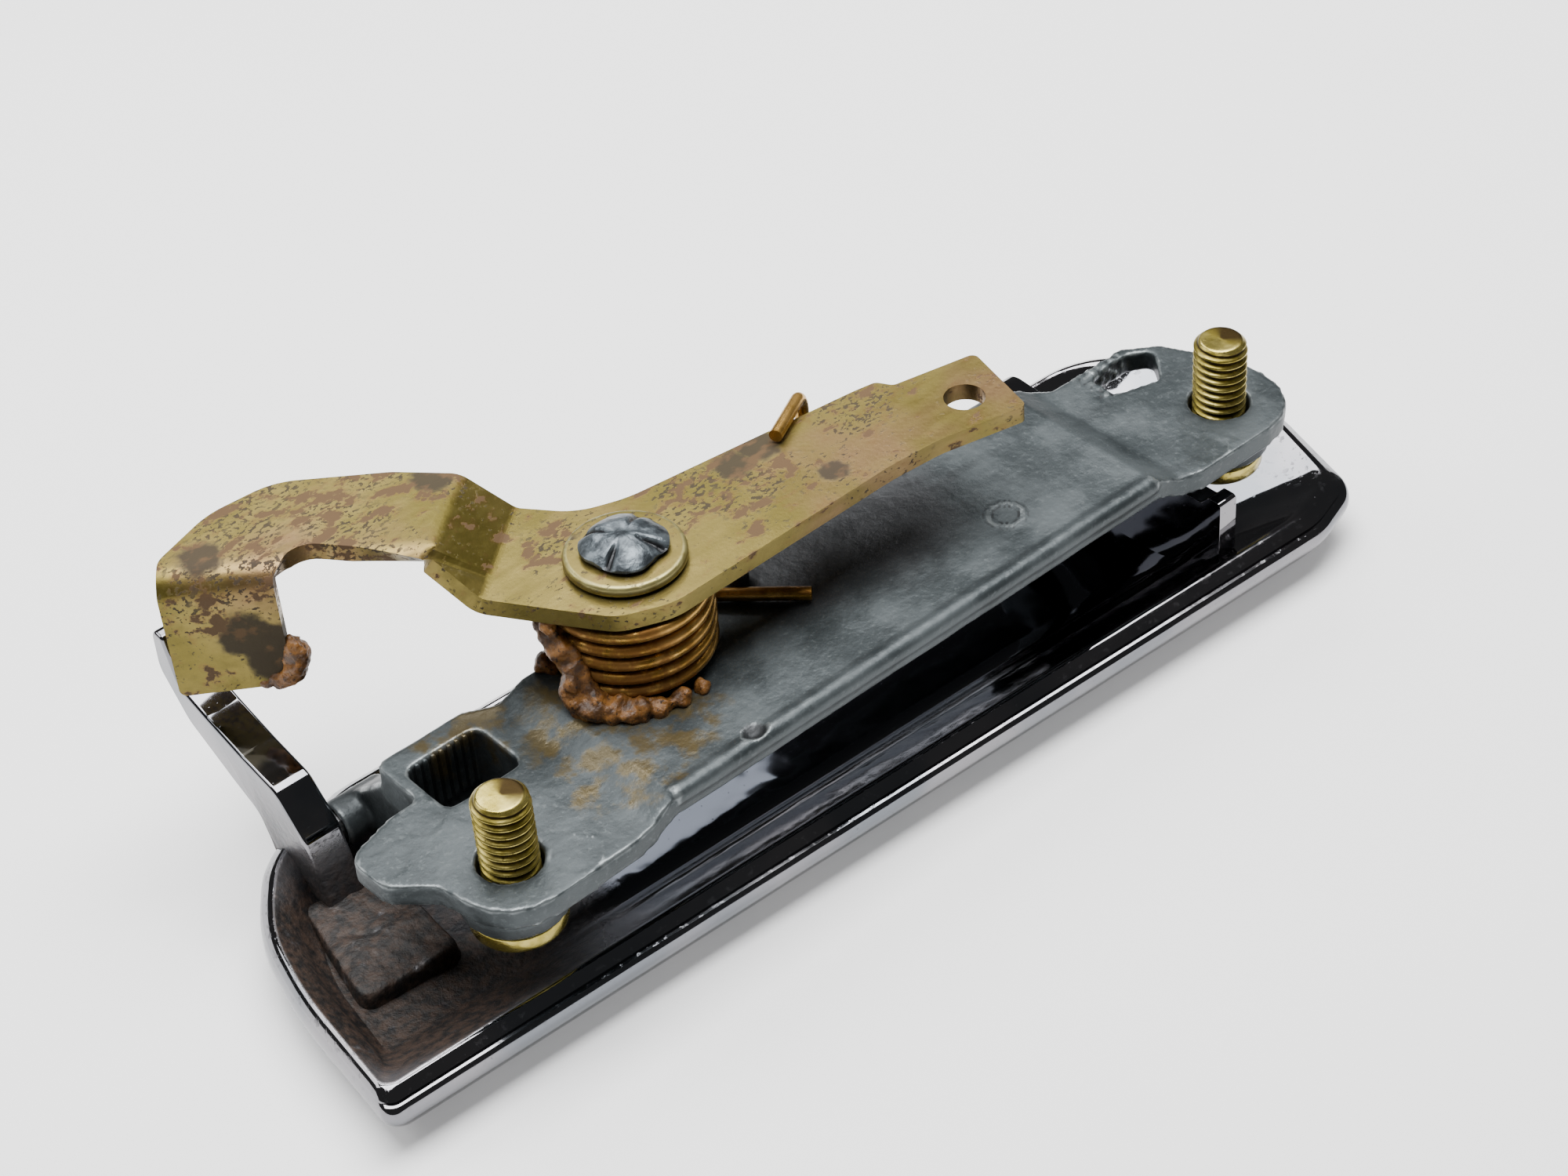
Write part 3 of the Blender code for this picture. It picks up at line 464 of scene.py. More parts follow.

# %% [markdown]
# ## Yellow-passivated steel
# The lever and the washer are pressed steel, zinc plated and dipped in a yellow chromate. The dip leaves an
# uneven film that goes from olive gold to pink, which is why the colour is mixed from two broad clouds and
# a set of streaks. Rust comes through as dark brown specks, crowded along the bend and the far edge, and the
# edge that rubs is bright. Faces marked `under` are darkened as painted shade.

# %% The yellow zinc finish
yellow_zinc, tree, shader = new_finish("yellow_passivated_zinc")
film = mix(tree, band(tree, grain(tree, 13.0, 3.0), 0.36, 0.62), srgb("#665b27"), srgb("#7a6c38"))
film = mix(tree, band(tree, grain(tree, 17.0, 3.0, shift=0.7), 0.5, 0.72), film, srgb("#7d6444"))
streaks = band(tree, grain(tree, 1.3, 4.0, stretch=(6, 1, 1), turn=-0.35), 0.35, 0.7)
film = mix(tree, maths(tree, "MULTIPLY", streaks, 0.3), film, srgb("#5b5226"))
crowd = spot(tree, (6.0, 38.0, 18.3), 7.0, 9.0)
for centre, radius, soft in (((42.0, 16.5, 13.9), 5.0, 8.0), ((-5.0, 38.8, 16.0), 3.0, 5.0),
                             ((16.0, 35.0, 18.3), 4.0, 6.0), ((23.0, 20.5, 13.9), 2.0, 4.0),
                             ((60.0, 15.5, 13.9), 2.0, 6.0)):
    crowd = maths(tree, "MAXIMUM", crowd, spot(tree, centre, radius, soft))
near_rust = maths(tree, "MULTIPLY", crowd, 0.085)
fine = maths(tree, "ADD", grain(tree, 0.45, 3.0, stretch=(1.5, 1, 1), turn=-0.4), near_rust)
coarse = maths(tree, "ADD", grain(tree, 1.9, 5.0, stretch=(1.6, 1, 1), turn=-0.4, shift=0.3), near_rust)
patches = band(tree, maths(tree, "ADD", grain(tree, 5.0, 3.0), near_rust), 0.42, 0.62)
specks = maths(tree, "MAXIMUM", maths(tree, "MULTIPLY", band(tree, fine, 0.605, 0.64), patches),
               band(tree, coarse, 0.63, 0.67))
blots = spot(tree, (51.1, 8.3, 13.9), 0.5, 0.8, 1.5, 1.0)
for centre, radius in (((-5.6, 39.6, 17.8), 0.8), ((18.2, 32.6, 18.3), 0.7), ((44.6, 16.6, 13.9), 0.8),
                       ((48.4, 17.2, 13.9), 1.0), ((-5.0, 34.6, 10.6), 1.2), ((-2.2, 32.8, 7.8), 2.4)):
    blots = maths(tree, "MAXIMUM", blots, spot(tree, centre, radius, 1.0, 2.0, 1.2))
specks = maths(tree, "MAXIMUM", specks, blots)
film = mix(tree, maths(tree, "MULTIPLY", specks, 0.86), film, srgb("#21150b"))
tea = maths(tree, "MULTIPLY", band(tree, coarse, 0.55, 0.68), 0.45)
film = mix(tree, tea, film, srgb("#6b4c2a"))
rubbed = maths(tree, "MULTIPLY", attribute(tree, "edge"), band(tree, grain(tree, 2.5, 3.0), 0.3, 0.6))
film = mix(tree, rubbed, film, srgb("#c9c58e"))
# Painted shade: faces and points marked `under` are darkened.
film = mix(tree, maths(tree, "MULTIPLY", attribute(tree, "under"), 0.75), film, srgb("#2e2820"))
feed(tree, shader, Base_Color=film, Metallic=between(tree, specks, 0.8, 0.1),
     Roughness=between(tree, specks, between(tree, streaks, 0.34, 0.46), 0.8))
bumped(tree, shader, maths(tree, "ADD", maths(tree, "MULTIPLY", specks, 0.6), grain(tree, 0.5, 3.0)), 0.02)
print("finish:", yellow_zinc.name, len(tree.nodes), "nodes")

# %% [markdown]
# ## Spring wire, stud brass-yellow, staked grey, pin steel and grease
# The spring is hard-drawn wire with a gold-brown film and orange grease between its turns. The studs carry
# the same yellow dip as the lever, with their thread roots darkened as painted shade.
# The post's head is fresh zinc, hammered over the washer, and its dents and side are darkened as painted
# shade. Grease is not a metal at all: it is a dull, slightly see-through brown paste.

# %% The smaller finishes
spring_gold, tree, shader = new_finish("gold_brown_spring_wire", Metallic=0.85)
film = mix(tree, band(tree, grain(tree, 3.0, 4.0), 0.35, 0.65), srgb("#94702f"), srgb("#c39a55"))
smear = maths(tree, "MAXIMUM", spot(tree, (18.0, 9.0, 5.0), 6.0, 6.0, 4.0), attribute(tree, "between_turns"))
smear = maths(tree, "MULTIPLY", smear, band(tree, grain(tree, 1.4, 5.0), 0.3, 0.55))
film = mix(tree, maths(tree, "MULTIPLY", smear, 0.8), film, srgb("#6a4420"))
feed(tree, shader, Base_Color=film, Roughness=between(tree, smear, 0.26, 0.55))
bumped(tree, shader, grain(tree, 0.4, 3.0, stretch=(3, 3, 1)), 0.03)

stud_yellow, tree, shader = new_finish("yellow_plated_thread", Metallic=0.9)
film = mix(tree, band(tree, grain(tree, 2.5, 3.0), 0.35, 0.65), srgb("#8a7c34"), srgb("#b3a45c"))
root = attribute(tree, "root")
# Painted shade: the thread roots are darkened.
film = mix(tree, band(tree, root, 0.35, 0.95), film, srgb("#33270f"))
dots = band(tree, grain(tree, 0.45, 2.0), 0.66, 0.72)
film = mix(tree, maths(tree, "MULTIPLY", dots, 0.6), film, srgb("#40341c"))
feed(tree, shader, Base_Color=film, Roughness=between(tree, root, 0.24, 0.5))
bumped(tree, shader, grain(tree, 0.5, 3.0), 0.03)

staked_grey, tree, shader = new_finish("hammered_zinc_head", Metallic=0.7)
film = mix(tree, band(tree, grain(tree, 1.4, 5.0), 0.35, 0.65), srgb("#33383c"), srgb("#626a6f"))
# Painted shade: darker where `hollow` marks the blow dents and the head's side.
film = mix(tree, band(tree, attribute(tree, "hollow"), 0.2, 0.8), film, srgb("#1f2022"))
feed(tree, shader, Base_Color=film, Roughness=between(tree, grain(tree, 0.8, 3.0), 0.22, 0.5))
bumped(tree, shader, grain(tree, 0.6, 4.0), 0.08)

pin_steel, tree, shader = new_finish("ground_pin_steel", Metallic=1.0)
lines = grain(tree, 0.25, 2.0, stretch=(1, 12, 12))
film = mix(tree, lines, srgb("#6f7072"), srgb("#9b9b9c"))
feed(tree, shader, Base_Color=film, Roughness=between(tree, lines, 0.28, 0.45))
bumped(tree, shader, lines, 0.02)

grease, tree, shader = new_finish("old_grease", Subsurface_Weight=0.05, Subsurface_Scale=0.001)
film = mix(tree, band(tree, grain(tree, 1.5, 5.0), 0.35, 0.65), srgb("#43290f"), srgb("#865a28"))
film = mix(tree, band(tree, grain(tree, 0.5, 3.0), 0.58, 0.7), film, srgb("#2a1a0e"))
feed(tree, shader, Base_Color=film, Roughness=between(tree, grain(tree, 1.0, 3.0), 0.3, 0.6))
bumped(tree, shader, grain(tree, 0.7, 5.0), 0.25)
print("finishes:", ", ".join(m.name for m in (spring_gold, stud_yellow, staked_grey, pin_steel, grease)))

# %% [markdown]
# ## The flap's dish
# The dish is a casting about 140 mm long with a thin lip all round. It could be a subdivided box, but its
# shape follows a rule: every level of it is the rim's outline, drawn in by a different amount on each side.
# So it is lofted. A list of sections gives the height and the four insets from the floor up the inside,
# over the lip, past the thin groove in the near band, and down under the outer face. Close sections make the
# lip crisp and wide ones make the long soft curves that the chrome mirrors.

# %% Loft the dish
RIM_Z = -12.0
BASE_Z = measured("pull_flap")[0].z
FLOOR_THICKNESS = 2.0
FLOOR_Z = BASE_Z + FLOOR_THICKNESS
rim_outline = even(rounded([
    (-22.6, -7.5, 1.6), (60.0, -11.0, 60.0), (105.0, -13.0, 10.0), (112.6, -10.6, 5.0), (116.8, 3.0, 12.0),
    (118.0, 22.0, 9.0), (108.0, 30.2, 12.0), (0.0, 33.0, 10.0), (-11.2, 30.2, 12.0), (-18.0, 21.0, 26.0),
    (-20.8, 10.0, 60.0),
], 10), 1.6)
left_x, right_x = min(p[0] for p in rim_outline), max(p[0] for p in rim_outline)
near_y, far_y = min(p[1] for p in rim_outline), max(p[1] for p in rim_outline)

# Each section: left, right, near and far inset, then height.
inside = [
    (9.5, 26.0, 19.0, 11.0, FLOOR_Z), (8.0, 22.0, 14.5, 8.6, FLOOR_Z + 0.05),
    (6.6, 19.0, 12.4, 7.0, FLOOR_Z + 0.3), (5.9, 16.5, 10.9, 6.1, FLOOR_Z + 0.9),
    (5.3, 13.0, 10.3, 5.4, FLOOR_Z + 1.5), (4.6, 9.0, 8.2, 4.4, FLOOR_Z + 2.5),
    (3.9, 6.2, 6.2, 3.8, FLOOR_Z + 3.5), (2.6, 3.9, 4.4, 3.1, RIM_Z - 0.95),
    (1.9, 2.7, 3.4, 2.6, RIM_Z - 0.35), (1.6, 2.3, 2.95, 2.35, RIM_Z - 0.08),
]
over_the_lip = [
    (1.35, 2.0, 2.6, 2.1, RIM_Z), (1.15, 1.7, 2.25, 1.8, RIM_Z - 0.06),
    (0.9, 1.4, 1.95, 1.5, RIM_Z - 0.28), (0.65, 0.9, 1.4, 1.0, RIM_Z - 0.62),
    (0.45, 0.55, 0.95, 0.6, RIM_Z - 0.92),
]
groove = [
    (0.42, 0.5, 1.0, 0.5, RIM_Z - 1.05), (0.38, 0.45, 1.1, 0.45, RIM_Z - 1.22),
    (0.3, 0.3, 0.55, 0.3, RIM_Z - 1.34),
]
outside = [
    (0.2, 0.15, 0.25, 0.15, RIM_Z - 1.6), (0.05, 0.05, 0.05, 0.05, RIM_Z - 2.1),
    (0, 0, 0, 0, RIM_Z - 2.7), (0.15, 0.25, 0.15, 0.15, RIM_Z - 3.4),
    (0.55, 0.85, 0.55, 0.55, RIM_Z - 4.1), (1.1, 1.8, 1.1, 1.1, RIM_Z - 4.9),
    (2.2, 3.4, 2.0, 2.2, BASE_Z + 1.65), (3.9, 6.0, 3.5, 3.9, BASE_Z + 0.95),
    (6.0, 9.0, 5.6, 6.0, BASE_Z + 0.45), (8.6, 13.0, 8.2, 8.6, BASE_Z + 0.15),
    (11.5, 17.5, 11.0, 11.5, BASE_Z + 0.02), (14.0, 24.0, 14.0, 14.0, BASE_Z),
]
# Dirt is thickest round the arm's foot, and the painted shade in the tray ends short of the right end.
GRIME_AT, GRIME_SPREAD = (-9.0, 9.0), (15.0, 15.5)
TRAY_SHADE_END = 102.0


def dish_ring(section):
    """The rim's outline drawn in by a section's insets and set at its height."""
    dl, dr, dn, df, z = section
    wide, deep = right_x - left_x, far_y - near_y
    return [(left_x + dl + (x - left_x) / wide * (wide - dl - dr),
             near_y + dn + (y - near_y) / deep * (deep - dn - df), z) for x, y in rim_outline]


bm = bmesh.new()
rim_layer = bm.verts.layers.float.new("rim")
grime_layer = bm.verts.layers.float.new("grime")
tray_shade_layer = bm.verts.layers.float.new("tray_shade")
sections = inside + over_the_lip + groove + outside
rings = [[bm.verts.new(p) for p in dish_ring(section)] for section in sections]
stitch(bm, rings)
bm.faces.new(rings[0])
bm.faces.new(rings[-1])
inner = {vert for ring in rings[:len(inside)] for vert in ring}
for vert in bm.verts:
    x, y, z = vert.co
    vert[rim_layer] = max(0.0, 1.0 - abs(z - RIM_Z + 0.6) / 1.8)
    foot = math.hypot((x - GRIME_AT[0]) / GRIME_SPREAD[0], (y - GRIME_AT[1]) / GRIME_SPREAD[1])
    vert[grime_layer] = clamp(2.2 - 1.35 * foot) if vert in inner else 0.0
    # Painted shade in the tray: inside points below the lip, fading out before the right end.
    deep = clamp((RIM_Z - 0.9 - z) / 1.6)
    vert[tray_shade_layer] = deep * clamp((TRAY_SHADE_END - x) / 8.0) if vert in inner else 0.0
dish = new_object("flap_dish", bm)
finish_piece(dish, chrome, "flap", "pull_flap", sharp=28)

# %% [markdown]
# ## The arm, the ear and the land
# Three walls stand in the dish. The arm at the left end is the finger that pushes the lever, the ear at the
# right end carries the second hinge pin, and the land is the thick pad that the arm grows out of. The arm
# and the ear are flat plates, so each is a side view given a thickness, with its edges rounded by a bevel.
# The land is a stack of outlines. Its top was never polished, so noise moves its points a little.

# %% Build the arm and the ear
ARM_LEFT, ARM_WIDTH = -9.2, 4.4
EAR_LEFT, EAR_WIDTH, EAR_WALL = 92.0, 2.6, 1.4
BURIED = BASE_Z + 1.0
BORE = 2.05


def paint(thing, name, rule):
    """Store a number on every point of a piece, worked out from its place in workshop millimetres."""
    layer = thing.data.attributes.new(name, "FLOAT", "POINT")
    for item, vert in zip(layer.data, thing.data.vertices):
        item.value = rule((vert.co - ORIGIN) / MM)


arm_side = rounded([
    (20.4, BURIED, 0), (22.2, -11.6, 3.0), (23.6, -8.0, 2.5), (27.6, -3.6, 3.0), (33.4, -2.4, 6.0),
    (39.3, -0.8, 5.0), (43.6, 0.6, 2.0), (45.2, 6.4, 0.6), (47.2, 6.6, 1.0), (47.4, 1.2, 3.0),
    (43.4, -3.9, 4.0), (36.2, -7.8, 6.0), (32.4, -9.6, 3.0), (31.0, -12.6, 2.0), (30.4, RIM_Z - 2.6, 0),
    (27.0, BURIED, 0),
], 6)
arm = new_object("flap_arm", plate(arm_side, ARM_LEFT, ARM_LEFT + ARM_WIDTH))
round_edges(arm, 0.4, 3, 50)
settle(arm)
paint(arm, "grime", lambda p: clamp((-8.5 - p.z) / 5.0))
finish_piece(arm, chrome, "flap", "pull_flap", sharp=50, flat=True)

boss_low = -PLATE - BOSS_DEPTH
around = BARREL_RADIUS + EAR_WALL
ear_side = rounded([
    (-8.4, RIM_Z - 1.2, 0), (-8.4, -5.2, 0.5), (-6.6, -5.2, 0.5), (-5.6, boss_low - 0.6, 0.5),
    (HINGE[0] - around, boss_low - 0.9, 2.0), (HINGE[0] + around * 0.2, HINGE[1] + around, 3.0),
    (HINGE[0] + around, HINGE[1] + around * 0.2, 2.5), (HINGE[0] + around * 0.8, RIM_Z - 4.4, 0),
    (20.0, BURIED, 0), (2.0, BURIED, 0),
], 6)
ear = new_object("flap_ear", plate(ear_side, EAR_LEFT, EAR_LEFT + EAR_WIDTH))
cut(ear, new_object("ear_bore", rod(HINGE, BORE, EAR_LEFT - 2, EAR_LEFT + EAR_WIDTH + 2)))
round_edges(ear, 0.25, 2, 50)
settle(ear)
finish_piece(ear, chrome, "flap", "pull_flap", sharp=50, flat=True)

# %% Build the land under the arm
LAND_TOP, LAND_MIDDLE = -15.6, Vector((-8.0, 15.0, 0))
land_outline = even(rounded([(-14.4, 8.4, 1.5), (-2.6, 7.4, 1.5), (-2.0, 20.4, 1.0), (-3.4, 23.6, 1.0),
                             (-11.3, 23.0, 1.0)], 5), 0.6)
bm = bmesh.new()
rings = []
for share, level in ((1.06, BURIED), (1.0, LAND_TOP - 0.9), (0.985, LAND_TOP - 0.3), (0.95, LAND_TOP - 0.04),
                     (0.88, LAND_TOP), (0.75, LAND_TOP), (0.6, LAND_TOP), (0.45, LAND_TOP), (0.3, LAND_TOP),
                     (0.15, LAND_TOP)):
    ring = []
    for x, y in land_outline:
        point = LAND_MIDDLE + (Vector((x, y, 0)) - LAND_MIDDLE) * share
        point.z = level
        if level > BURIED:
            point.z += 0.3 * roughly(point, 1.3, 3.0) + 0.4 * roughly(point, 3.4, 5.0)
        ring.append(bm.verts.new(point))
    rings.append(ring)
stitch(bm, rings)
bm.faces.new(rings[0])
bm.faces.new(rings[-1])
land = new_object("flap_land", bm)
paint(land, "grime", lambda p: 1.0)
finish_piece(land, chrome, "flap", "pull_flap", sharp=60)

# %% [markdown]
# ## The bracket casting
# A die casting has no sharp edges: molten zinc rounds every corner, and inner corners get a fillet.
# Modelling each fillet by hand would take dozens of operations. A voxel remesh does it in one: it rebuilds a
# copy of the CAD solid from cubes about a third of a millimetre wide, and a light smoothing then melts the
# edges by about that much. The fine even mesh it leaves can also carry what the CAD solid leaves out: the
# round ejector-pin marks, a knock in the rolled lip, the plain raised ring, and the skin's faint waviness.

# %% Remesh the casting
VOXEL = 0.36
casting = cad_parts["base_bracket"].copy()
casting.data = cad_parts["base_bracket"].data.copy()
casting.name = "bracket_casting"
casting.parent = None
casting.matrix_world = Matrix.Identity(4)
bpy.context.scene.collection.objects.link(casting)
bm = bmesh.new()
bm.from_mesh(casting.data)
bmesh.ops.remove_doubles(bm, verts=bm.verts, dist=1e-6)
bm.to_mesh(casting.data)
bm.free()
remesh = casting.modifiers.new("melt", "REMESH")
remesh.mode = "VOXEL"
remesh.voxel_size = VOXEL * MM
soften = casting.modifiers.new("soften", "SMOOTH")
soften.factor = 0.5
soften.iterations = 4
settle(casting)
print("casting:", len(casting.data.polygons), "faces of", VOXEL, "mm")

# %% [markdown]
# The staked head is a separate piece further down, so the post is cut off just above the washer. Then every
# point of the skin is moved once along its normal. A mark is a rule on the distance from the mark's centre,
# and the ejector marks and the ring only touch points whose surface faces up. Where the moved skin bends
# outwards it is stored as `edge`, and where it bends inwards as `hollow`. The left pocket, the stud bases
# and the faces that look down are added to `hollow` as painted shade.


# %% Cast marks and waviness
def step(value, low_value, high_value):
    """0 below low, 1 above high, smooth between."""
    share = clamp((value - low_value) / (high_value - low_value))
    return share * share * (3 - 2 * share)


NECK_TOP = washer_high.z + GAP
EJECTORS = ((-2.8, 10.4, 2.3), (-9.0, 8.2, 2.4), (4.9, -4.3, 2.5), (93.6, -4.6, 2.4), (8.3, -2.0, 1.6))
EJECTOR_DEPTH, FLASH_RISE = 0.04, 0.015
RING_AT, RING_RADIUS, RING_RISE = (68.9, 1.6), 1.9, 0.13
KNOCK_AT, KNOCK_DEPTH = (27.4, -4.9), 0.75
POCKET_ROUGHNESS = 0.3

bm = bmesh.new()
bm.from_mesh(casting.data)
bmesh.ops.transform(bm, matrix=Matrix.Scale(1 / MM, 4) @ Matrix.Translation(-ORIGIN), verts=bm.verts)
sliced = bmesh.ops.bisect_plane(bm, geom=bm.verts[:] + bm.edges[:] + bm.faces[:], dist=1e-4,
                                plane_co=(0, 0, NECK_TOP), plane_no=(0, 0, 1), clear_outer=True)
loose = [e for e in sliced["geom_cut"] if isinstance(e, bmesh.types.BMEdge)]
bmesh.ops.edgeloop_fill(bm, edges=loose)
bm.normal_update()
for vert in bm.verts:
    x, y, z = vert.co
    lift = 0.05 * roughly(vert.co, 5.0, 1.0) + 0.025 * roughly(vert.co, 1.4, 2.0)
    if vert.normal.z > 0.8 and z < 2.2:
        for cx, cy, radius in EJECTORS:
            away = math.hypot(x - cx, y - cy)
            lift -= EJECTOR_DEPTH * (1 - step(away, radius - 0.25, radius + 0.1))
            flash = step(away, radius - 0.1, radius + 0.15) - step(away, radius + 0.2, radius + 0.7)
            lift += FLASH_RISE * flash
        ring = abs(math.hypot(x - RING_AT[0], y - RING_AT[1]) - RING_RADIUS)
        lift += RING_RISE * (1 - step(ring, 0.1, 0.5))
    if y < -3.5 and z > -1.5:
        knock = math.hypot((x - KNOCK_AT[0]) * 0.8, y - KNOCK_AT[1])
        lift -= KNOCK_DEPTH * (1 - step(knock, 0.4, 1.3))
    pocket = step(y, 8.5, 9.8) * step(x, 91.0, 93.5) * (1 - step(x, 98.5, 100.0))
    lift += POCKET_ROUGHNESS * pocket * roughly(vert.co, 0.9, 7.0)
    vert.co += vert.normal * lift
bm.normal_update()
edge_layer = bm.verts.layers.float.new("edge")
hollow_layer = bm.verts.layers.float.new("hollow")
for vert in bm.verts:
    lean = sum((e.other_vert(vert).co - vert.co).dot(vert.normal) for e in vert.link_edges)
    lean /= max(1, len(vert.link_edges)) * VOXEL
    vert[edge_layer] = max(0.0, -lean * 6 - 0.12)
    vert[hollow_layer] = max(0.0, lean * 5 - 0.05)
# Painted shade: the left pocket, the stud bases and the faces that look down go into `hollow`, which the
# finish darkens.
for vert in bm.verts:
    x, y, z = vert.co
    in_pocket = -0.2 < x < 9.4 and 9.5 < y < 17.5 and z < -0.6
    at_stud = min(math.hypot(x, y), math.hypot(x - SPACING, y)) < 3.6
    under = vert.normal.z < -0.3 or z < -4.0
    pocket_stud_under_shade = max(0.25 if in_pocket or at_stud else 0.0, 0.3 if under else 0.0)
    vert[hollow_layer] = max(vert[hollow_layer], pocket_stud_under_shade)
bpy.data.objects.remove(casting)
casting = new_object("bracket_casting", bm)
finish_piece(casting, bare_zinc, "base", "base_bracket", sharp=0)

# %% [markdown]
# ## Ribs in the left pocket
# The far wall of the left pocket is ribbed, so that the zinc fills its thin section. The ribs are one shape
# repeated along a line, which is what Geometry Nodes is for: a line of points, a rounded rib on each, and
# the result made real at the end, because the export drops instances.


# %% A tree with named sizes
def new_tree(name, **sizes):
    """A Geometry Nodes tree with one input for each size, and a finish; returns the tree and both ends."""
    tree = bpy.data.node_groups.new(name, "GeometryNodeTree")
    tree.interface.new_socket("Geometry", in_out="INPUT", socket_type="NodeSocketGeometry")
    kinds = {float: "NodeSocketFloat", int: "NodeSocketInt", Vector: "NodeSocketVector"}
    for key, value in sizes.items():
        tree.interface.new_socket(key.replace("_", " "), in_out="INPUT", socket_type=kinds[type(value)])
    tree.interface.new_socket("Finish", in_out="INPUT", socket_type="NodeSocketMaterial")
    tree.interface.new_socket("Geometry", in_out="OUTPUT", socket_type="NodeSocketGeometry")
    return tree, tree.nodes.new("NodeGroupInput"), tree.nodes.new("NodeGroupOutput")


def close_tree(tree, start, end, geometry):
    """End a tree in real geometry with its finish set."""
    real = add(tree, "GeometryNodeRealizeInstances", _0=geometry)
    smooth = add(tree, "GeometryNodeSetShadeSmooth", _0=real.outputs[0])
    painted = add(tree, "GeometryNodeSetMaterial", _0=smooth.outputs[0], Material=start.outputs["Finish"])
    tree.links.new(painted.outputs[0], end.inputs[0])


def grow(name, tree, finish, base=None, **sizes):
    """A piece made by a tree: its sizes are set by socket identifier, then it becomes a plain mesh."""
    made = base or bpy.data.objects.new(name, bpy.data.meshes.new(name))
    if base is None:
        bpy.context.scene.collection.objects.link(made)
    grower = made.modifiers.new(tree.name, "NODES")
    grower.node_group = tree
    values = {key.replace("_", " "): value for key, value in sizes.items()}
    values["Finish"] = finish
    for item in tree.interface.items_tree:
        if item.in_out == "INPUT" and item.name in values:
            grower[item.identifier] = values[item.name]
    return settle(made)


# %% Grow the ribs
rib_tree, start, end = new_tree("row_of_ribs", Count=8, Pitch=1.0, Width=1.0, Depth=1.0, Height=1.0,
                                Corner=Vector((0, 0, 0)))
step_along = add(rib_tree, "ShaderNodeCombineXYZ", X=start.outputs["Pitch"])
line = add(rib_tree, "GeometryNodeMeshLine", Count=start.outputs["Count"],
           Start_Location=start.outputs["Corner"], Offset=step_along.outputs[0])
size = add(rib_tree, "ShaderNodeCombineXYZ", X=start.outputs["Width"], Y=start.outputs["Depth"],
           Z=start.outputs["Height"])
block = add(rib_tree, "GeometryNodeMeshCube", Size=size.outputs[0], Vertices_X=4, Vertices_Y=4, Vertices_Z=8)
soft = add(rib_tree, "GeometryNodeSubdivisionSurface", Mesh=block.outputs[0], Level=1)
ribs = add(rib_tree, "GeometryNodeInstanceOnPoints", Points=line.outputs[0], Instance=soft.outputs[0])
close_tree(rib_tree, start, end, ribs.outputs[0])
pocket_ribs = grow("pocket_ribs", rib_tree, bare_zinc, Count=9, Pitch=1.0 * MM, Width=0.55 * MM,
                   Depth=0.8 * MM, Height=7.0 * MM, Corner=place(0.6, 17.4, -3.6))
finish_piece(pocket_ribs, bare_zinc, "base", sharp=0)

# %% [markdown]
# ## The studs
# The studs are M6, and rolled threads are what sells them: a V groove that climbs one pitch each turn and
# fades into the chamfer. A screw modifier could sweep a tooth, but the joined ends are awkward. The tree
# below wraps a flat grid round the axis instead and pulls each point in by a rule: the further its height is
# from a crest of the helix, the deeper it goes. The first and last rows are drawn in to the axis and close
# the ends. The same rule is stored as `root` for the finish.

# %% A rolled thread
thread_tree, start, end = new_tree("rolled_thread", Rows=100, Radius=1.0, Pitch=1.0, Depth=1.0, Chamfer=1.0,
                                   Top=1.0, Bottom=1.0, Axis=Vector((0, 0, 0)))


def sums(tree):
    """A short way to write arithmetic in one tree."""
    return lambda operation, a, b=0.0: maths(tree, operation, a, b)


calc = sums(thread_tree)
FOOT_ROWS, CROWN_ROWS = 0.015, 0.04
CREST_FLAT, FLANK = 0.14, 1.4
grid = add(thread_tree, "GeometryNodeMeshGrid", Size_X=1.0, Size_Y=1.0, Vertices_X=73,
            Vertices_Y=start.outputs["Rows"])
on_grid = add(thread_tree, "GeometryNodeInputPosition")
where_on = add(thread_tree, "ShaderNodeSeparateXYZ", Vector=on_grid.outputs[0])
turn_share = calc("ADD", where_on.outputs[0], 0.5)
row_share = calc("ADD", where_on.outputs[1], 0.5)
foot_share = calc("MINIMUM", calc("DIVIDE", row_share, FOOT_ROWS), 1.0)
crown_share = calc("MINIMUM", calc("DIVIDE", calc("SUBTRACT", 1.0, row_share), CROWN_ROWS), 1.0)
climb = calc("DIVIDE", calc("SUBTRACT", row_share, FOOT_ROWS), 1 - FOOT_ROWS - CROWN_ROWS)
climb = calc("MINIMUM", calc("MAXIMUM", climb, 0.0), 1.0)
length = calc("SUBTRACT", start.outputs["Top"], start.outputs["Bottom"])
height = calc("ADD", start.outputs["Bottom"], calc("MULTIPLY", climb, length))
turns = calc("ADD", calc("DIVIDE", height, start.outputs["Pitch"]), turn_share)
phase = calc("FRACT", calc("ADD", turns, 100.0))
from_crest = calc("SUBTRACT", 1.0, calc("ABSOLUTE", calc("SUBTRACT", calc("MULTIPLY", phase, 2.0), 1.0)))
groove_share = calc("MULTIPLY", calc("SUBTRACT", from_crest, CREST_FLAT), FLANK)
groove_share = calc("MINIMUM", calc("MAXIMUM", groove_share, 0.0), 1.0)
threaded = calc("SUBTRACT", start.outputs["Radius"], calc("MULTIPLY", groove_share, start.outputs["Depth"]))
below_top = calc("SUBTRACT", start.outputs["Top"], height)
cone = calc("ADD", calc("SUBTRACT", start.outputs["Radius"], start.outputs["Chamfer"]), below_top)
radius = calc("MULTIPLY", calc("MINIMUM", threaded, cone), calc("MULTIPLY", foot_share, crown_share))
angle = calc("MULTIPLY", turn_share, 2 * math.pi)
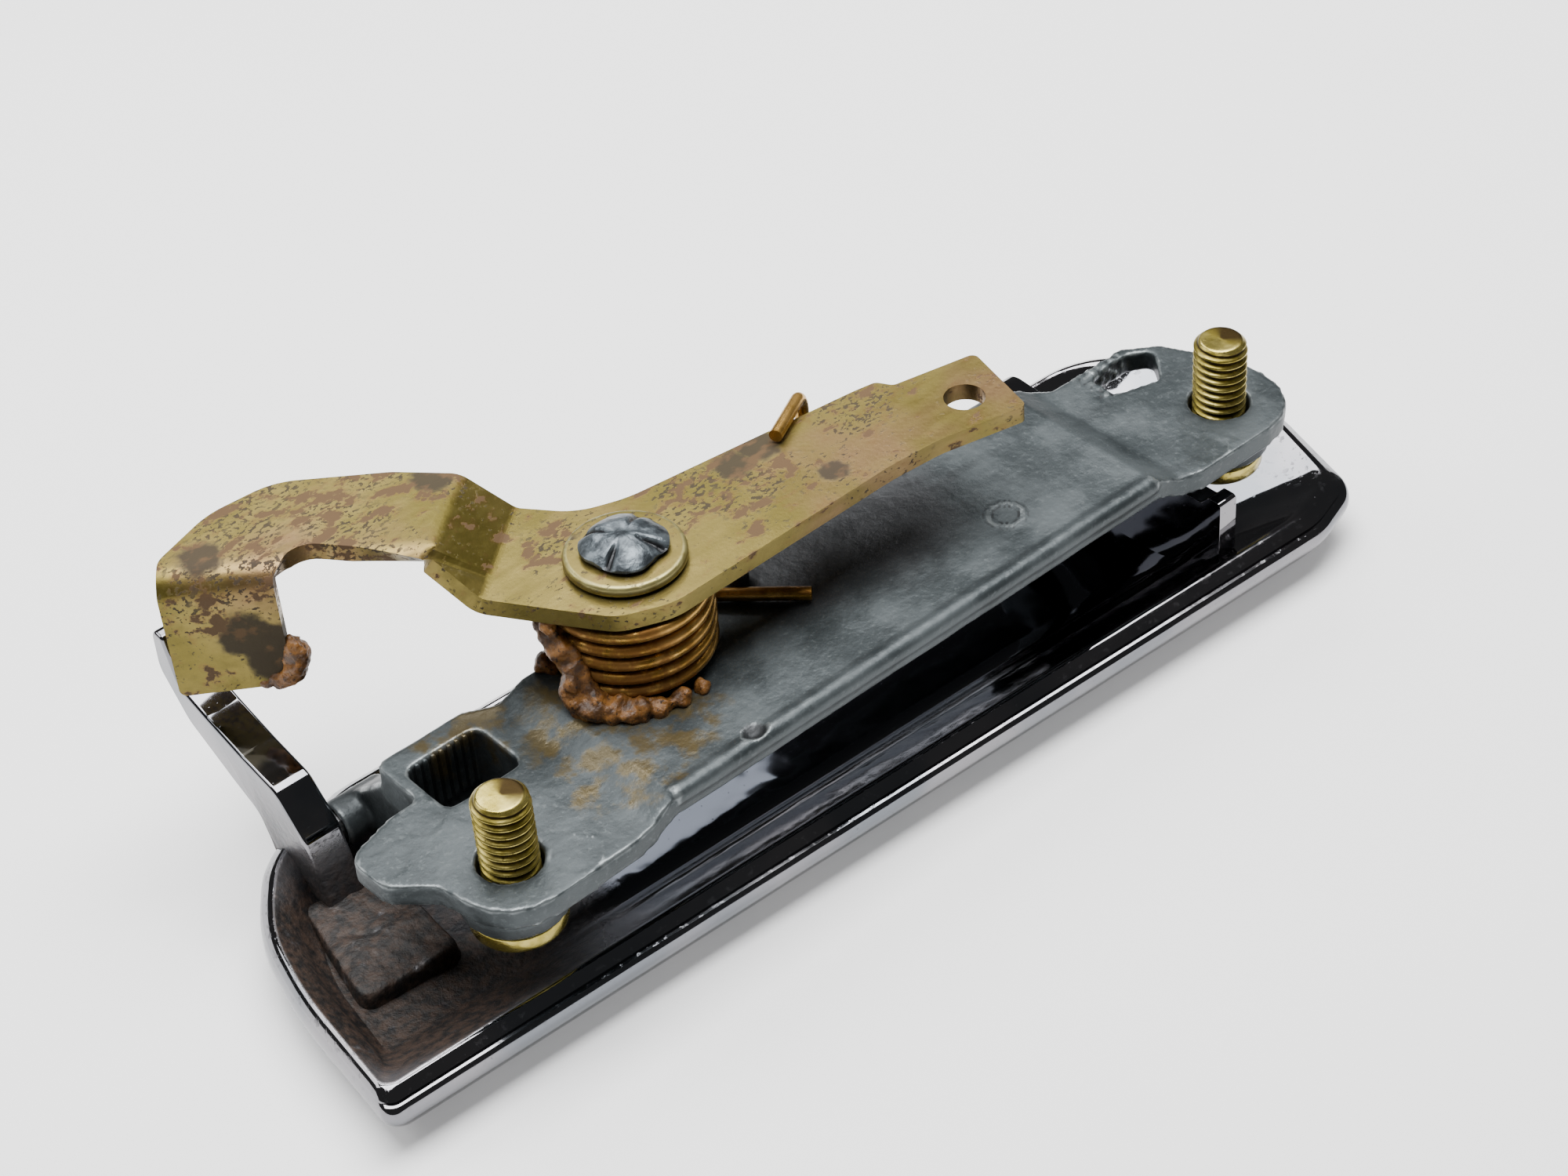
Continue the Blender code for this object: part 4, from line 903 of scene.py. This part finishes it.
wrapped = add(thread_tree, "ShaderNodeCombineXYZ", X=calc("MULTIPLY", radius, calc("COSINE", angle)),
              Y=calc("MULTIPLY", radius, calc("SINE", angle)), Z=height)
moved = add(thread_tree, "ShaderNodeVectorMath", {"operation": "ADD"}, _0=wrapped.outputs[0],
            _1=start.outputs["Axis"])
rooted = add(thread_tree, "GeometryNodeStoreNamedAttribute", {"data_type": "FLOAT", "domain": "POINT"},
             Geometry=grid.outputs[0], Name="root", Value=groove_share)
wrap = add(thread_tree, "GeometryNodeSetPosition", Geometry=rooted.outputs[0], Position=moved.outputs[0])
welded = add(thread_tree, "GeometryNodeMergeByDistance", Geometry=wrap.outputs[0], Distance=2e-6)
close_tree(thread_tree, start, end, welded.outputs[0])
print("thread tree:", len(thread_tree.nodes), "nodes")

# %% Grow both studs, each with its round head under the pad
STUD_RADIUS, PITCH, THREAD_DEPTH, CHAMFER = 3.0, 1.0, 0.5, 0.7
HEAD_TOP = boss_low - GAP
for side, x in (("left", 0.0), ("right", SPACING)):
    thread = grow(side + "_stud_thread", thread_tree, stud_yellow, Rows=190, Radius=STUD_RADIUS * MM,
                  Pitch=PITCH * MM, Depth=THREAD_DEPTH * MM, Chamfer=CHAMFER * MM, Top=STUD_TOP * MM,
                  Bottom=(HEAD_TOP - 0.5) * MM, Axis=place(x, 0, 0))
    outward(thread)
    finish_piece(thread, stud_yellow, "base", side + "_stud", sharp=50)
    head = new_object(side + "_stud_head", turned([
        (0.0, HEAD_TOP), (4.6, HEAD_TOP), (4.9, HEAD_TOP - 0.15), (5.0, HEAD_TOP - 0.45),
        (5.0, HEAD_TOP - 1.6), (4.85, HEAD_TOP - 2.0), (4.3, HEAD_TOP - 2.45), (3.6, HEAD_TOP - 2.68),
        (2.4, HEAD_TOP - 2.7), (2.1, HEAD_TOP - 2.6), (0.0, HEAD_TOP - 2.6),
    ], (x, 0), 72))
    finish_piece(head, stud_yellow, "base", side + "_stud", sharp=50)

# %% [markdown]
# ## The release lever
# The lever is pressed from one 2 mm sheet, so it is made the way the press makes it: the flat blank with its
# two holes first, then each fold. A fold rolls everything beyond a line round an arc, and both faces of the
# sheet turn about the same centre, so that the sheet stays even through the bend. The blank is cut into
# narrow strips along the arc first, which is what makes the bend come out round.

# %% Fold lines and sizes
LEVER_TOP = washer_low.z - GAP
SHEET = 2.0
RAMP_FOOT, RAMP_FOOT_FAR = (13.0, 18.4), (24.4, 27.4)
RAMP_RUN, RAMP_RISE = 5.3, 4.4
TAB_NEAR, TAB_FAR = (-1.2, 33.2), (-10.4, 40.3)
FOOT_RADIUS, CREST_RADIUS, TAB_RADIUS, TAB_DROP, TAB_REACH = 1.6, 2.8, 3.0, 10.2, 16.0
TAB_SETBACK = 0.6
ROD_EYE, EYE_RADIUS, PIVOT_HOLE = (69.1, 7.6), 2.25, 4.3


def square_to(near, far):
    """The plan direction square to a fold line, to the left of the way from near to far."""
    return unit(near[1] - far[1], far[0] - near[0])


uphill = square_to(RAMP_FOOT, RAMP_FOOT_FAR)
tab_out = square_to(TAB_NEAR, TAB_FAR)
slope = math.hypot(RAMP_RUN, RAMP_RISE)


def unfolded(x, y):
    """Where a plan point of the raised end lies in the flat blank."""
    return x + uphill[0] * (slope - RAMP_RUN), y + uphill[1] * (slope - RAMP_RUN)


def on_tab(corner, run):
    """A point of the blank's tab, this far beyond its fold."""
    x, y = unfolded(*corner)
    return x + tab_out[0] * run, y + tab_out[1] * run


tab_length = TAB_DROP + TAB_RADIUS * math.pi / 2
blank = [
    (26.0, 4.2, 8.0), (56.0, 4.7, 30.0), (62.3, 4.2, 12.0), (72.6, 1.8, 0.8), (75.3, 12.4, 0.8),
    (65.4, 14.6, 1.0), (64.4, 16.4, 1.0), (61.7, 16.9, 4.0), (48.8, 18.5, 10.0), (33.4, 20.4, 14.0),
    (28.2, 22.4, 8.0), (*RAMP_FOOT_FAR, 4.0), (*unfolded(16.1, 36.6), 6.0), (*unfolded(6.6, 44.1), 8.0),
    (*unfolded(-1.2, 44.6), 10.0), (*unfolded(-8.8, 42.0), 3.0), (*on_tab(TAB_FAR, 2.0), 1.0),
    (*on_tab(TAB_FAR, tab_length), 0.8), (*on_tab(TAB_NEAR, tab_length - 0.4), 1.5),
    (*on_tab(TAB_NEAR, tab_length - 3.0), 1.5), (*on_tab(TAB_NEAR, 1.0), 1.0), (*unfolded(2.6, 34.4), 3.0),
    (*unfolded(6.2, 29.7), 3.0), (*unfolded(10.3, 23.6), 4.0), (*RAMP_FOOT, 3.0), (16.8, 12.4, 6.0),
    (20.6, 6.6, 5.0),
]

# %% Press the blank into shape
def circle(centre, radius, count):
    """The points of a round hole in plan."""
    return [(centre[0] + radius * math.cos(2 * math.pi * k / count),
             centre[1] + radius * math.sin(2 * math.pi * k / count)) for k in range(count)]


bm = bmesh.new()
for loop in (rounded(blank, 7), circle(PIVOT, PIVOT_HOLE, 64), circle(ROD_EYE, EYE_RADIUS, 40)):
    corners = [bm.verts.new((x, y, 0)) for x, y in loop]
    for one, two in zip(corners, corners[1:] + corners[:1]):
        bm.edges.new((one, two))
bmesh.ops.triangle_fill(bm, use_beauty=True, use_dissolve=False, edges=bm.edges[:])
thick = bmesh.ops.extrude_face_region(bm, geom=bm.faces[:])
underside = [item for item in thick["geom"] if isinstance(item, bmesh.types.BMVert)]
bmesh.ops.translate(bm, vec=(0, 0, -SHEET), verts=underside)


def fold(line, side, middle, angle, radius, steps, reach=1e6):
    """Roll the sheet beyond a line by an angle, downwards when it is positive; reach limits it sideways."""
    side, line = Vector((*side, 0)), Vector((*line, 0))
    arc = radius * abs(angle)
    origin = line + side * (middle - arc / 2)
    across = Vector((-side.y, side.x, 0))
    for k in range(steps + 1):
        bmesh.ops.bisect_plane(bm, geom=bm.verts[:] + bm.edges[:] + bm.faces[:], dist=1e-5,
                               plane_co=origin + side * arc * k / steps, plane_no=side)
    way = math.copysign(1.0, angle)
    for vert in bm.verts:
        distance = (vert.co - origin).dot(side)
        if distance <= 1e-4 or abs((vert.co - line).dot(across)) > reach:
            continue
        swept = min(distance, arc)
        turn, rest, lift = swept / radius, distance - swept, vert.co.z
        along = (radius + way * lift) * math.sin(turn) + rest * math.cos(turn)
        vert.co += side * (along - distance)
        vert.co.z = lift * math.cos(turn) - way * (radius * (1 - math.cos(turn)) + rest * math.sin(turn))


ramp_angle = math.atan2(RAMP_RISE, RAMP_RUN)
tab_middle = TAB_RADIUS * (math.pi / 4 - TAB_SETBACK)
fold(unfolded(*TAB_NEAR), tab_out, tab_middle, math.pi / 2, TAB_RADIUS, 10, TAB_REACH)
fold(RAMP_FOOT, uphill, slope, ramp_angle, CREST_RADIUS, 5)
fold(RAMP_FOOT, uphill, 0.0, -ramp_angle, FOOT_RADIUS, 5)
bmesh.ops.remove_doubles(bm, verts=bm.verts, dist=1e-4)
bmesh.ops.translate(bm, verts=bm.verts, vec=(0, 0, LEVER_TOP))
lever = new_object("pressed_lever", bm)
outward(lever)
RUBBED_SLOT = 1
for _ in range(RUBBED_SLOT + 1):
    lever.data.materials.append(yellow_zinc)
round_edges(lever, 0.2, 3, 50)
lever.modifiers[-1].material = RUBBED_SLOT
settle(lever)
print("lever:", len(lever.data.polygons), "faces after pressing")

# %% [markdown]
# The edge of the sheet rubs bright, and its underside is darkened as painted shade. Whole faces say where:
# the bevel was told to put its slivers in the second material slot, which finds the rubbed ones, and the
# faces that look down get the painted shade.


# %% Mark the lever's rubbed edge and the painted shade on its underside
def mark_faces(thing, name, rule):
    """Store a number on every face of a piece."""
    layer = thing.data.attributes.new(name, "FLOAT", "FACE")
    layer.data.foreach_set("value", [rule(face) for face in thing.data.polygons])


mark_faces(lever, "edge", lambda f: 0.6 if f.material_index == RUBBED_SLOT and f.normal.z > 0.15 else 0.0)
# Painted shade on the faces that look down.
mark_faces(lever, "under", lambda f: 0.9 if f.normal.z < -0.6 else 0.0)
lever.data.polygons.foreach_set("material_index", [0] * len(lever.data.polygons))
finish_piece(lever, yellow_zinc, "lever", "release_lever", sharp=32, flat=True)

# %% [markdown]
# ## The washer and the staked head
# The washer is turned with a rolled outer edge. The head over it was round bar until a punch spread it: four
# blows push metal outwards and leave a low cross with torn edges. It is drawn on a polar grid, where the
# height is a dome, minus the four blows, plus a hammered roughness, and the rim bulges between the blows.

# %% Turn the washer
low_z, high_z = washer_low.z, washer_high.z
outer = washer_high.x - PIVOT[0]
washer = new_object("rolled_washer", turned([
    (3.9, low_z), (outer - 0.15, low_z), (outer, low_z + 0.2), (outer, high_z - 0.5),
    (outer - 0.06, high_z - 0.3), (outer - 0.18, high_z - 0.12), (outer - 0.38, high_z - 0.02),
    (outer - 0.6, high_z), (4.6, high_z), (3.9, high_z),
], PIVOT, 120))
paint(washer, "edge", lambda p: 0.35 if math.hypot(p.x - PIVOT[0], p.y - PIVOT[1]) > outer - 0.45 else 0.0)
# Painted shade on the washer's side below its top.
paint(washer, "under", lambda p: 0.6 if p.z < high_z - 0.4 else 0.0)
finish_piece(washer, yellow_zinc, "base", "pivot_washer", sharp=50)

# %% Hammer the head
HEAD_RADIUS, HEAD_HEIGHT, BLOWS, BLOW_DEPTH = 4.45, 1.75, 4, 0.55
bm = bmesh.new()
hollow_layer = bm.verts.layers.float.new("hollow")


def head_point(share, angle):
    """A point of the head's top at a share of the radius, and how deep a blow left it."""
    blow = max(0.0, math.cos(BLOWS * (angle - 0.5))) ** 8
    torn = roughly((math.cos(angle), math.sin(angle), 0), 0.5)
    bulge = 1 + 0.05 * math.cos(BLOWS * angle + 2.4) + 0.05 * torn
    radius = HEAD_RADIUS * share * (bulge if share > 0.5 else 1 + (bulge - 1) * share * 2)
    x, y = PIVOT[0] + radius * math.cos(angle), PIVOT[1] + radius * math.sin(angle)
    dome = HEAD_HEIGHT * (1 - 0.72 * share ** 3.2)
    dent = BLOW_DEPTH * blow * step(share, 0.25, 0.6)
    facet = 0.28 * roughly((x, y, 0), 1.7, 9.0) + 0.12 * abs(roughly((x, y, 0), 0.8, 4.0))
    return (x, y, NECK_TOP + max(0.25, dome - dent + facet * (1 - 0.4 * share))), dent


SHARES, AROUND = [0.0, 0.1, 0.2, 0.3, 0.4, 0.5, 0.6, 0.68, 0.76, 0.83, 0.9, 0.95, 1.0], 96
# `hollow` on the head holds painted shade: the depth each blow left, and a fixed share on the side.
rings = []
for share in SHARES[1:]:
    ring = []
    for k in range(AROUND):
        point, dent = head_point(share, 2 * math.pi * k / AROUND)
        vert = bm.verts.new(point)
        vert[hollow_layer] = min(1.0, dent * 1.8)
        ring.append(vert)
    rings.append(ring)
for level, share in ((0.2, 1.0), (0.0, 0.96)):
    ring = []
    for k in range(AROUND):
        x, y, _ = head_point(share, 2 * math.pi * k / AROUND)[0]
        vert = bm.verts.new((x, y, NECK_TOP + level))
        vert[hollow_layer] = 0.6
        ring.append(vert)
    rings.append(ring)
crown = bm.verts.new(head_point(0.0, 0.0)[0])
for k in range(AROUND):
    bm.faces.new((crown, rings[0][k], rings[0][(k + 1) % AROUND]))
stitch(bm, rings)
bm.faces.new(rings[-1])
head = new_object("staked_head", bm)
finish_piece(head, staked_grey, "base", "base_bracket", sharp=24)

# %% [markdown]
# ## The torsion spring
# The spring is one length of 1.5 mm wire: a straight lower leg, between four and five turns, and an upper
# leg that turns up past the lever and hooks back over it. Its middle line is worked out point by point, and
# a tree sweeps a round section along it.

# %% Lay the wire's middle line
WIRE, COIL_RADIUS = 1.5, 7.9
LOWER_END, HOOK_AT, HOOK_RETURN = (45.0, 6.0), (55.6, 19.0), 6.4
FULL_TURNS, POINTS_A_TURN, HOOK_STEPS = 4, 64, 16
coil_low, coil_high = PLATEAU + GAP + WIRE / 2, LEVER_TOP - SHEET - GAP - WIRE / 2


def leaves_coil(point, clockwise):
    """The angle on the coil where a straight leg to this point leaves it."""
    dx, dy = point[0] - PIVOT[0], point[1] - PIVOT[1]
    spread = math.acos(COIL_RADIUS / math.hypot(dx, dy))
    return math.atan2(dy, dx) + (spread if clockwise else -spread)


first, last = leaves_coil(LOWER_END, True), leaves_coil(HOOK_AT, False)
turns = FULL_TURNS + ((last - first) % (2 * math.pi)) / (2 * math.pi)
line = [(*LOWER_END, coil_low)]
count = round(turns * POINTS_A_TURN)
for k in range(count + 1):
    angle = first + turns * 2 * math.pi * k / count
    line.append((PIVOT[0] + COIL_RADIUS * math.cos(angle), PIVOT[1] + COIL_RADIUS * math.sin(angle),
                 coil_low + (coil_high - coil_low) * k / count))
run = (-math.sin(last), math.cos(last))
rise = LEVER_TOP + GAP + WIRE / 2 - coil_high
for k in range(HOOK_STEPS + 1):
    angle = math.pi * k / HOOK_STEPS
    out = rise * 0.3 * math.sin(angle)
    line.append((HOOK_AT[0] + run[0] * out, HOOK_AT[1] + run[1] * out,
                 coil_high + rise / 2 * (1 - math.cos(angle))))
line.append((HOOK_AT[0] - run[0] * HOOK_RETURN, HOOK_AT[1] - run[1] * HOOK_RETURN, coil_high + rise))
print("spring:", round(turns, 2), "turns,", len(line), "points")

# %% Sweep the wire along it
wire_tree, start, end = new_tree("wire_along_a_line", Wire_radius=1.0, Sides=16)
middle_line = add(wire_tree, "GeometryNodeMeshToCurve", Mesh=start.outputs["Geometry"])
section = add(wire_tree, "GeometryNodeCurvePrimitiveCircle", Resolution=start.outputs["Sides"],
              Radius=start.outputs["Wire radius"])
swept = add(wire_tree, "GeometryNodeCurveToMesh", Curve=middle_line.outputs[0],
            Profile_Curve=section.outputs[0], Fill_Caps=True)
close_tree(wire_tree, start, end, swept.outputs[0])

drawn = bpy.data.meshes.new("spring_line")
drawn.from_pydata([place(*point) for point in line], [(i, i + 1) for i in range(len(line) - 1)], [])
spring = bpy.data.objects.new("coiled_spring", drawn)
bpy.context.scene.collection.objects.link(spring)
spring = grow("coiled_spring", wire_tree, spring_gold, base=spring, Wire_radius=WIRE / 2 * MM, Sides=20)
outward(spring)


def turn_gap(p):
    """How near a point is to the gap between two turns."""
    pitch = (coil_high - coil_low) / turns
    angle = (math.atan2(p.y - PIVOT[1], p.x - PIVOT[0]) - first) % (2 * math.pi) / (2 * math.pi)
    off = (p.z - coil_low) / pitch - angle
    return step(abs(off - round(off)), 0.3, 0.46) if coil_low < p.z < coil_high + 0.8 else 0.0


paint(spring, "between_turns", turn_gap)
spring.data.materials.clear()
spring.data.materials.append(spring_gold)
spring.data.shade_smooth()
spring.data.set_sharp_from_angle(angle=math.radians(50))
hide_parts("torsion_spring")
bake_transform(spring)

# %% [markdown]
# ## Old grease
# Grease was packed round the spring and has been pushed out into lumps at its left side and its foot, with
# one more on the corner of the lever's tab. A lump has no shape worth drawing, so a few blobs are thrown
# together, melted into one skin with a voxel remesh, and roughened.


# %% Throw, melt and roughen
def lump(name, blobs, body, seed):
    """A lump of grease from blobs (x, y, z, radius), each squashed at random."""
    bm = bmesh.new()
    for number, (x, y, z, radius) in enumerate(blobs):
        ball = bmesh.ops.create_icosphere(bm, subdivisions=3, radius=radius * 1.25)
        for vert in ball["verts"]:
            spread = 1 + 0.45 * roughly(vert.co, radius, seed + number * 3.1)
            vert.co = vert.co * spread + Vector((x, y, z))
    made = new_object(name, bm)
    melt = made.modifiers.new("melt", "REMESH")
    melt.mode = "VOXEL"
    melt.voxel_size = 0.25 * MM
    soft = made.modifiers.new("soften", "SMOOTH")
    soft.iterations = 8
    settle(made)
    for vert in made.data.vertices:
        point = (vert.co - ORIGIN) / MM
        rough_by = 0.35 * roughly(point, 1.3, seed) + 0.14 * roughly(point, 0.5, seed)
        vert.co += vert.normal * rough_by * MM
    finish_piece(made, grease, body, sharp=0)


lump("coil_grease", [
    (18.0, 15.5, 10.3, 1.0), (17.6, 14.0, 9.0, 1.1), (17.9, 12.6, 7.6, 1.3), (18.2, 11.6, 6.0, 1.2),
    (17.9, 11.0, 4.2, 1.6), (17.6, 10.4, 2.6, 1.6), (18.4, 8.6, 2.2, 1.5), (19.6, 7.0, 2.0, 1.3),
    (21.2, 5.6, 1.9, 1.2), (23.2, 4.6, 1.8, 1.0), (25.4, 3.9, 1.8, 0.9), (16.9, 13.4, 11.0, 0.7),
    (19.0, 17.6, 2.2, 1.1), (28.0, 3.8, 1.75, 0.7),
], "base", 1.0)
lump("tab_grease", [
    (-1.3, 32.3, 8.6, 0.8), (-1.0, 32.1, 7.4, 1.0), (-1.2, 32.2, 6.0, 1.1), (-1.9, 32.8, 4.8, 1.1),
    (-2.9, 33.6, 4.2, 0.9), (-3.9, 34.4, 4.0, 0.6),
], "lever", 4.0)

# %% [markdown]
# ## The pins
# Both hinge pins are ground steel rod, pressed into the bracket's barrels. Only their ends show. The CAD
# solids are already the finished shape, so they stay and take the ground-steel finish.

# %% Finish the pins
for name in ("left_hinge_pin", "right_hinge_pin"):
    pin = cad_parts[name]
    pin.data.materials.clear()
    pin.data.materials.append(pin_steel)
    print(name, "keeps its CAD shape in", pin_steel.name)

# %% [markdown]
# ## Floor, light and camera
# The handle lies on a white table under a large soft light. Chrome shows what is round it, so the room is
# dim: the walls of the dish mirror white where they see the table or a light, and go nearly black where they
# see the room. A weak light far to the left brightens the arm and the edges that face it, and one behind is
# mirrored by the dish's right end. The table glows a little, which keeps it pale without more light on the
# metal.

# %% Set the stage
bm = bmesh.new()
bmesh.ops.create_grid(bm, x_segments=1, y_segments=1, size=3.0)
bmesh.ops.translate(bm, verts=bm.verts, vec=(0, 0, cad_box[0][2] - 0.0002))
mesh = bpy.data.meshes.new("table")
bm.to_mesh(mesh)
bm.free()
table = bpy.data.objects.new("table", mesh)
bpy.context.scene.collection.objects.link(table)
white, tree, shader = new_finish("white_table", Roughness=0.8, Emission_Color=(1, 1, 1, 1),
                                 Emission_Strength=0.25)
feed(tree, shader, Base_Color=mix(tree, grain(tree, 60.0, 2.0), srgb("#f1f1f1"), srgb("#f6f6f6")))
table.data.materials.append(white)


def light(name, at, towards, size, power):
    """A soft rectangular light, placed and aimed in workshop millimetres."""
    data = bpy.data.lights.new(name, "AREA")
    data.shape = "RECTANGLE"
    data.size, data.size_y = size[0] * MM, size[1] * MM
    data.energy = power
    made = bpy.data.objects.new(name, data)
    bpy.context.scene.collection.objects.link(made)
    made.location = place(*at)
    made.rotation_euler = (place(*towards) - made.location).to_track_quat("-Z", "Y").to_euler()
    return made


lights = [
    light("overhead", (120, 60, 520), (120, 60, 0), (640, 360), 9.0),
    light("far_left", (-230, 330, 320), (48, 17, 0), (300, 260), 1.2),
    light("behind", (170, 340, 400), (100, 10, -12), (240, 160), 1.0),
]
world = bpy.data.worlds.new("dim_room")
world.use_nodes = True
world.node_tree.nodes["Background"].inputs["Color"].default_value = (1.0, 1.0, 1.0, 1.0)
world.node_tree.nodes["Background"].inputs["Strength"].default_value = 0.08
bpy.context.scene.world = world

camera_data = bpy.data.cameras.new("camera")
camera_data.lens, camera_data.sensor_width = 72.86, 36.0
camera = bpy.data.objects.new("camera", camera_data)
bpy.context.scene.collection.objects.link(camera)
camera.matrix_world = Matrix.Translation(place(-114.8, -188.8, 215.0)) @ Matrix((
    (0.7441, 0.4656, -0.4790), (-0.6650, 0.4481, -0.5975), (-0.0636, 0.7632, 0.6430))).to_4x4()
bpy.context.scene.camera = camera
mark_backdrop(table, *lights)

# %% [markdown]
# ## The finished size
# The finished object should fill the same box as the CAD model; both boxes are printed in millimetres.

# %% Print both sizes
size = {"cad": [list(corner) for corner in cad_box], "finished": [list(corner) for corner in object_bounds()]}
for name, (low, high) in size.items():
    print(name, [round((b - a) / MM, 2) for a, b in zip(low, high)], "mm")
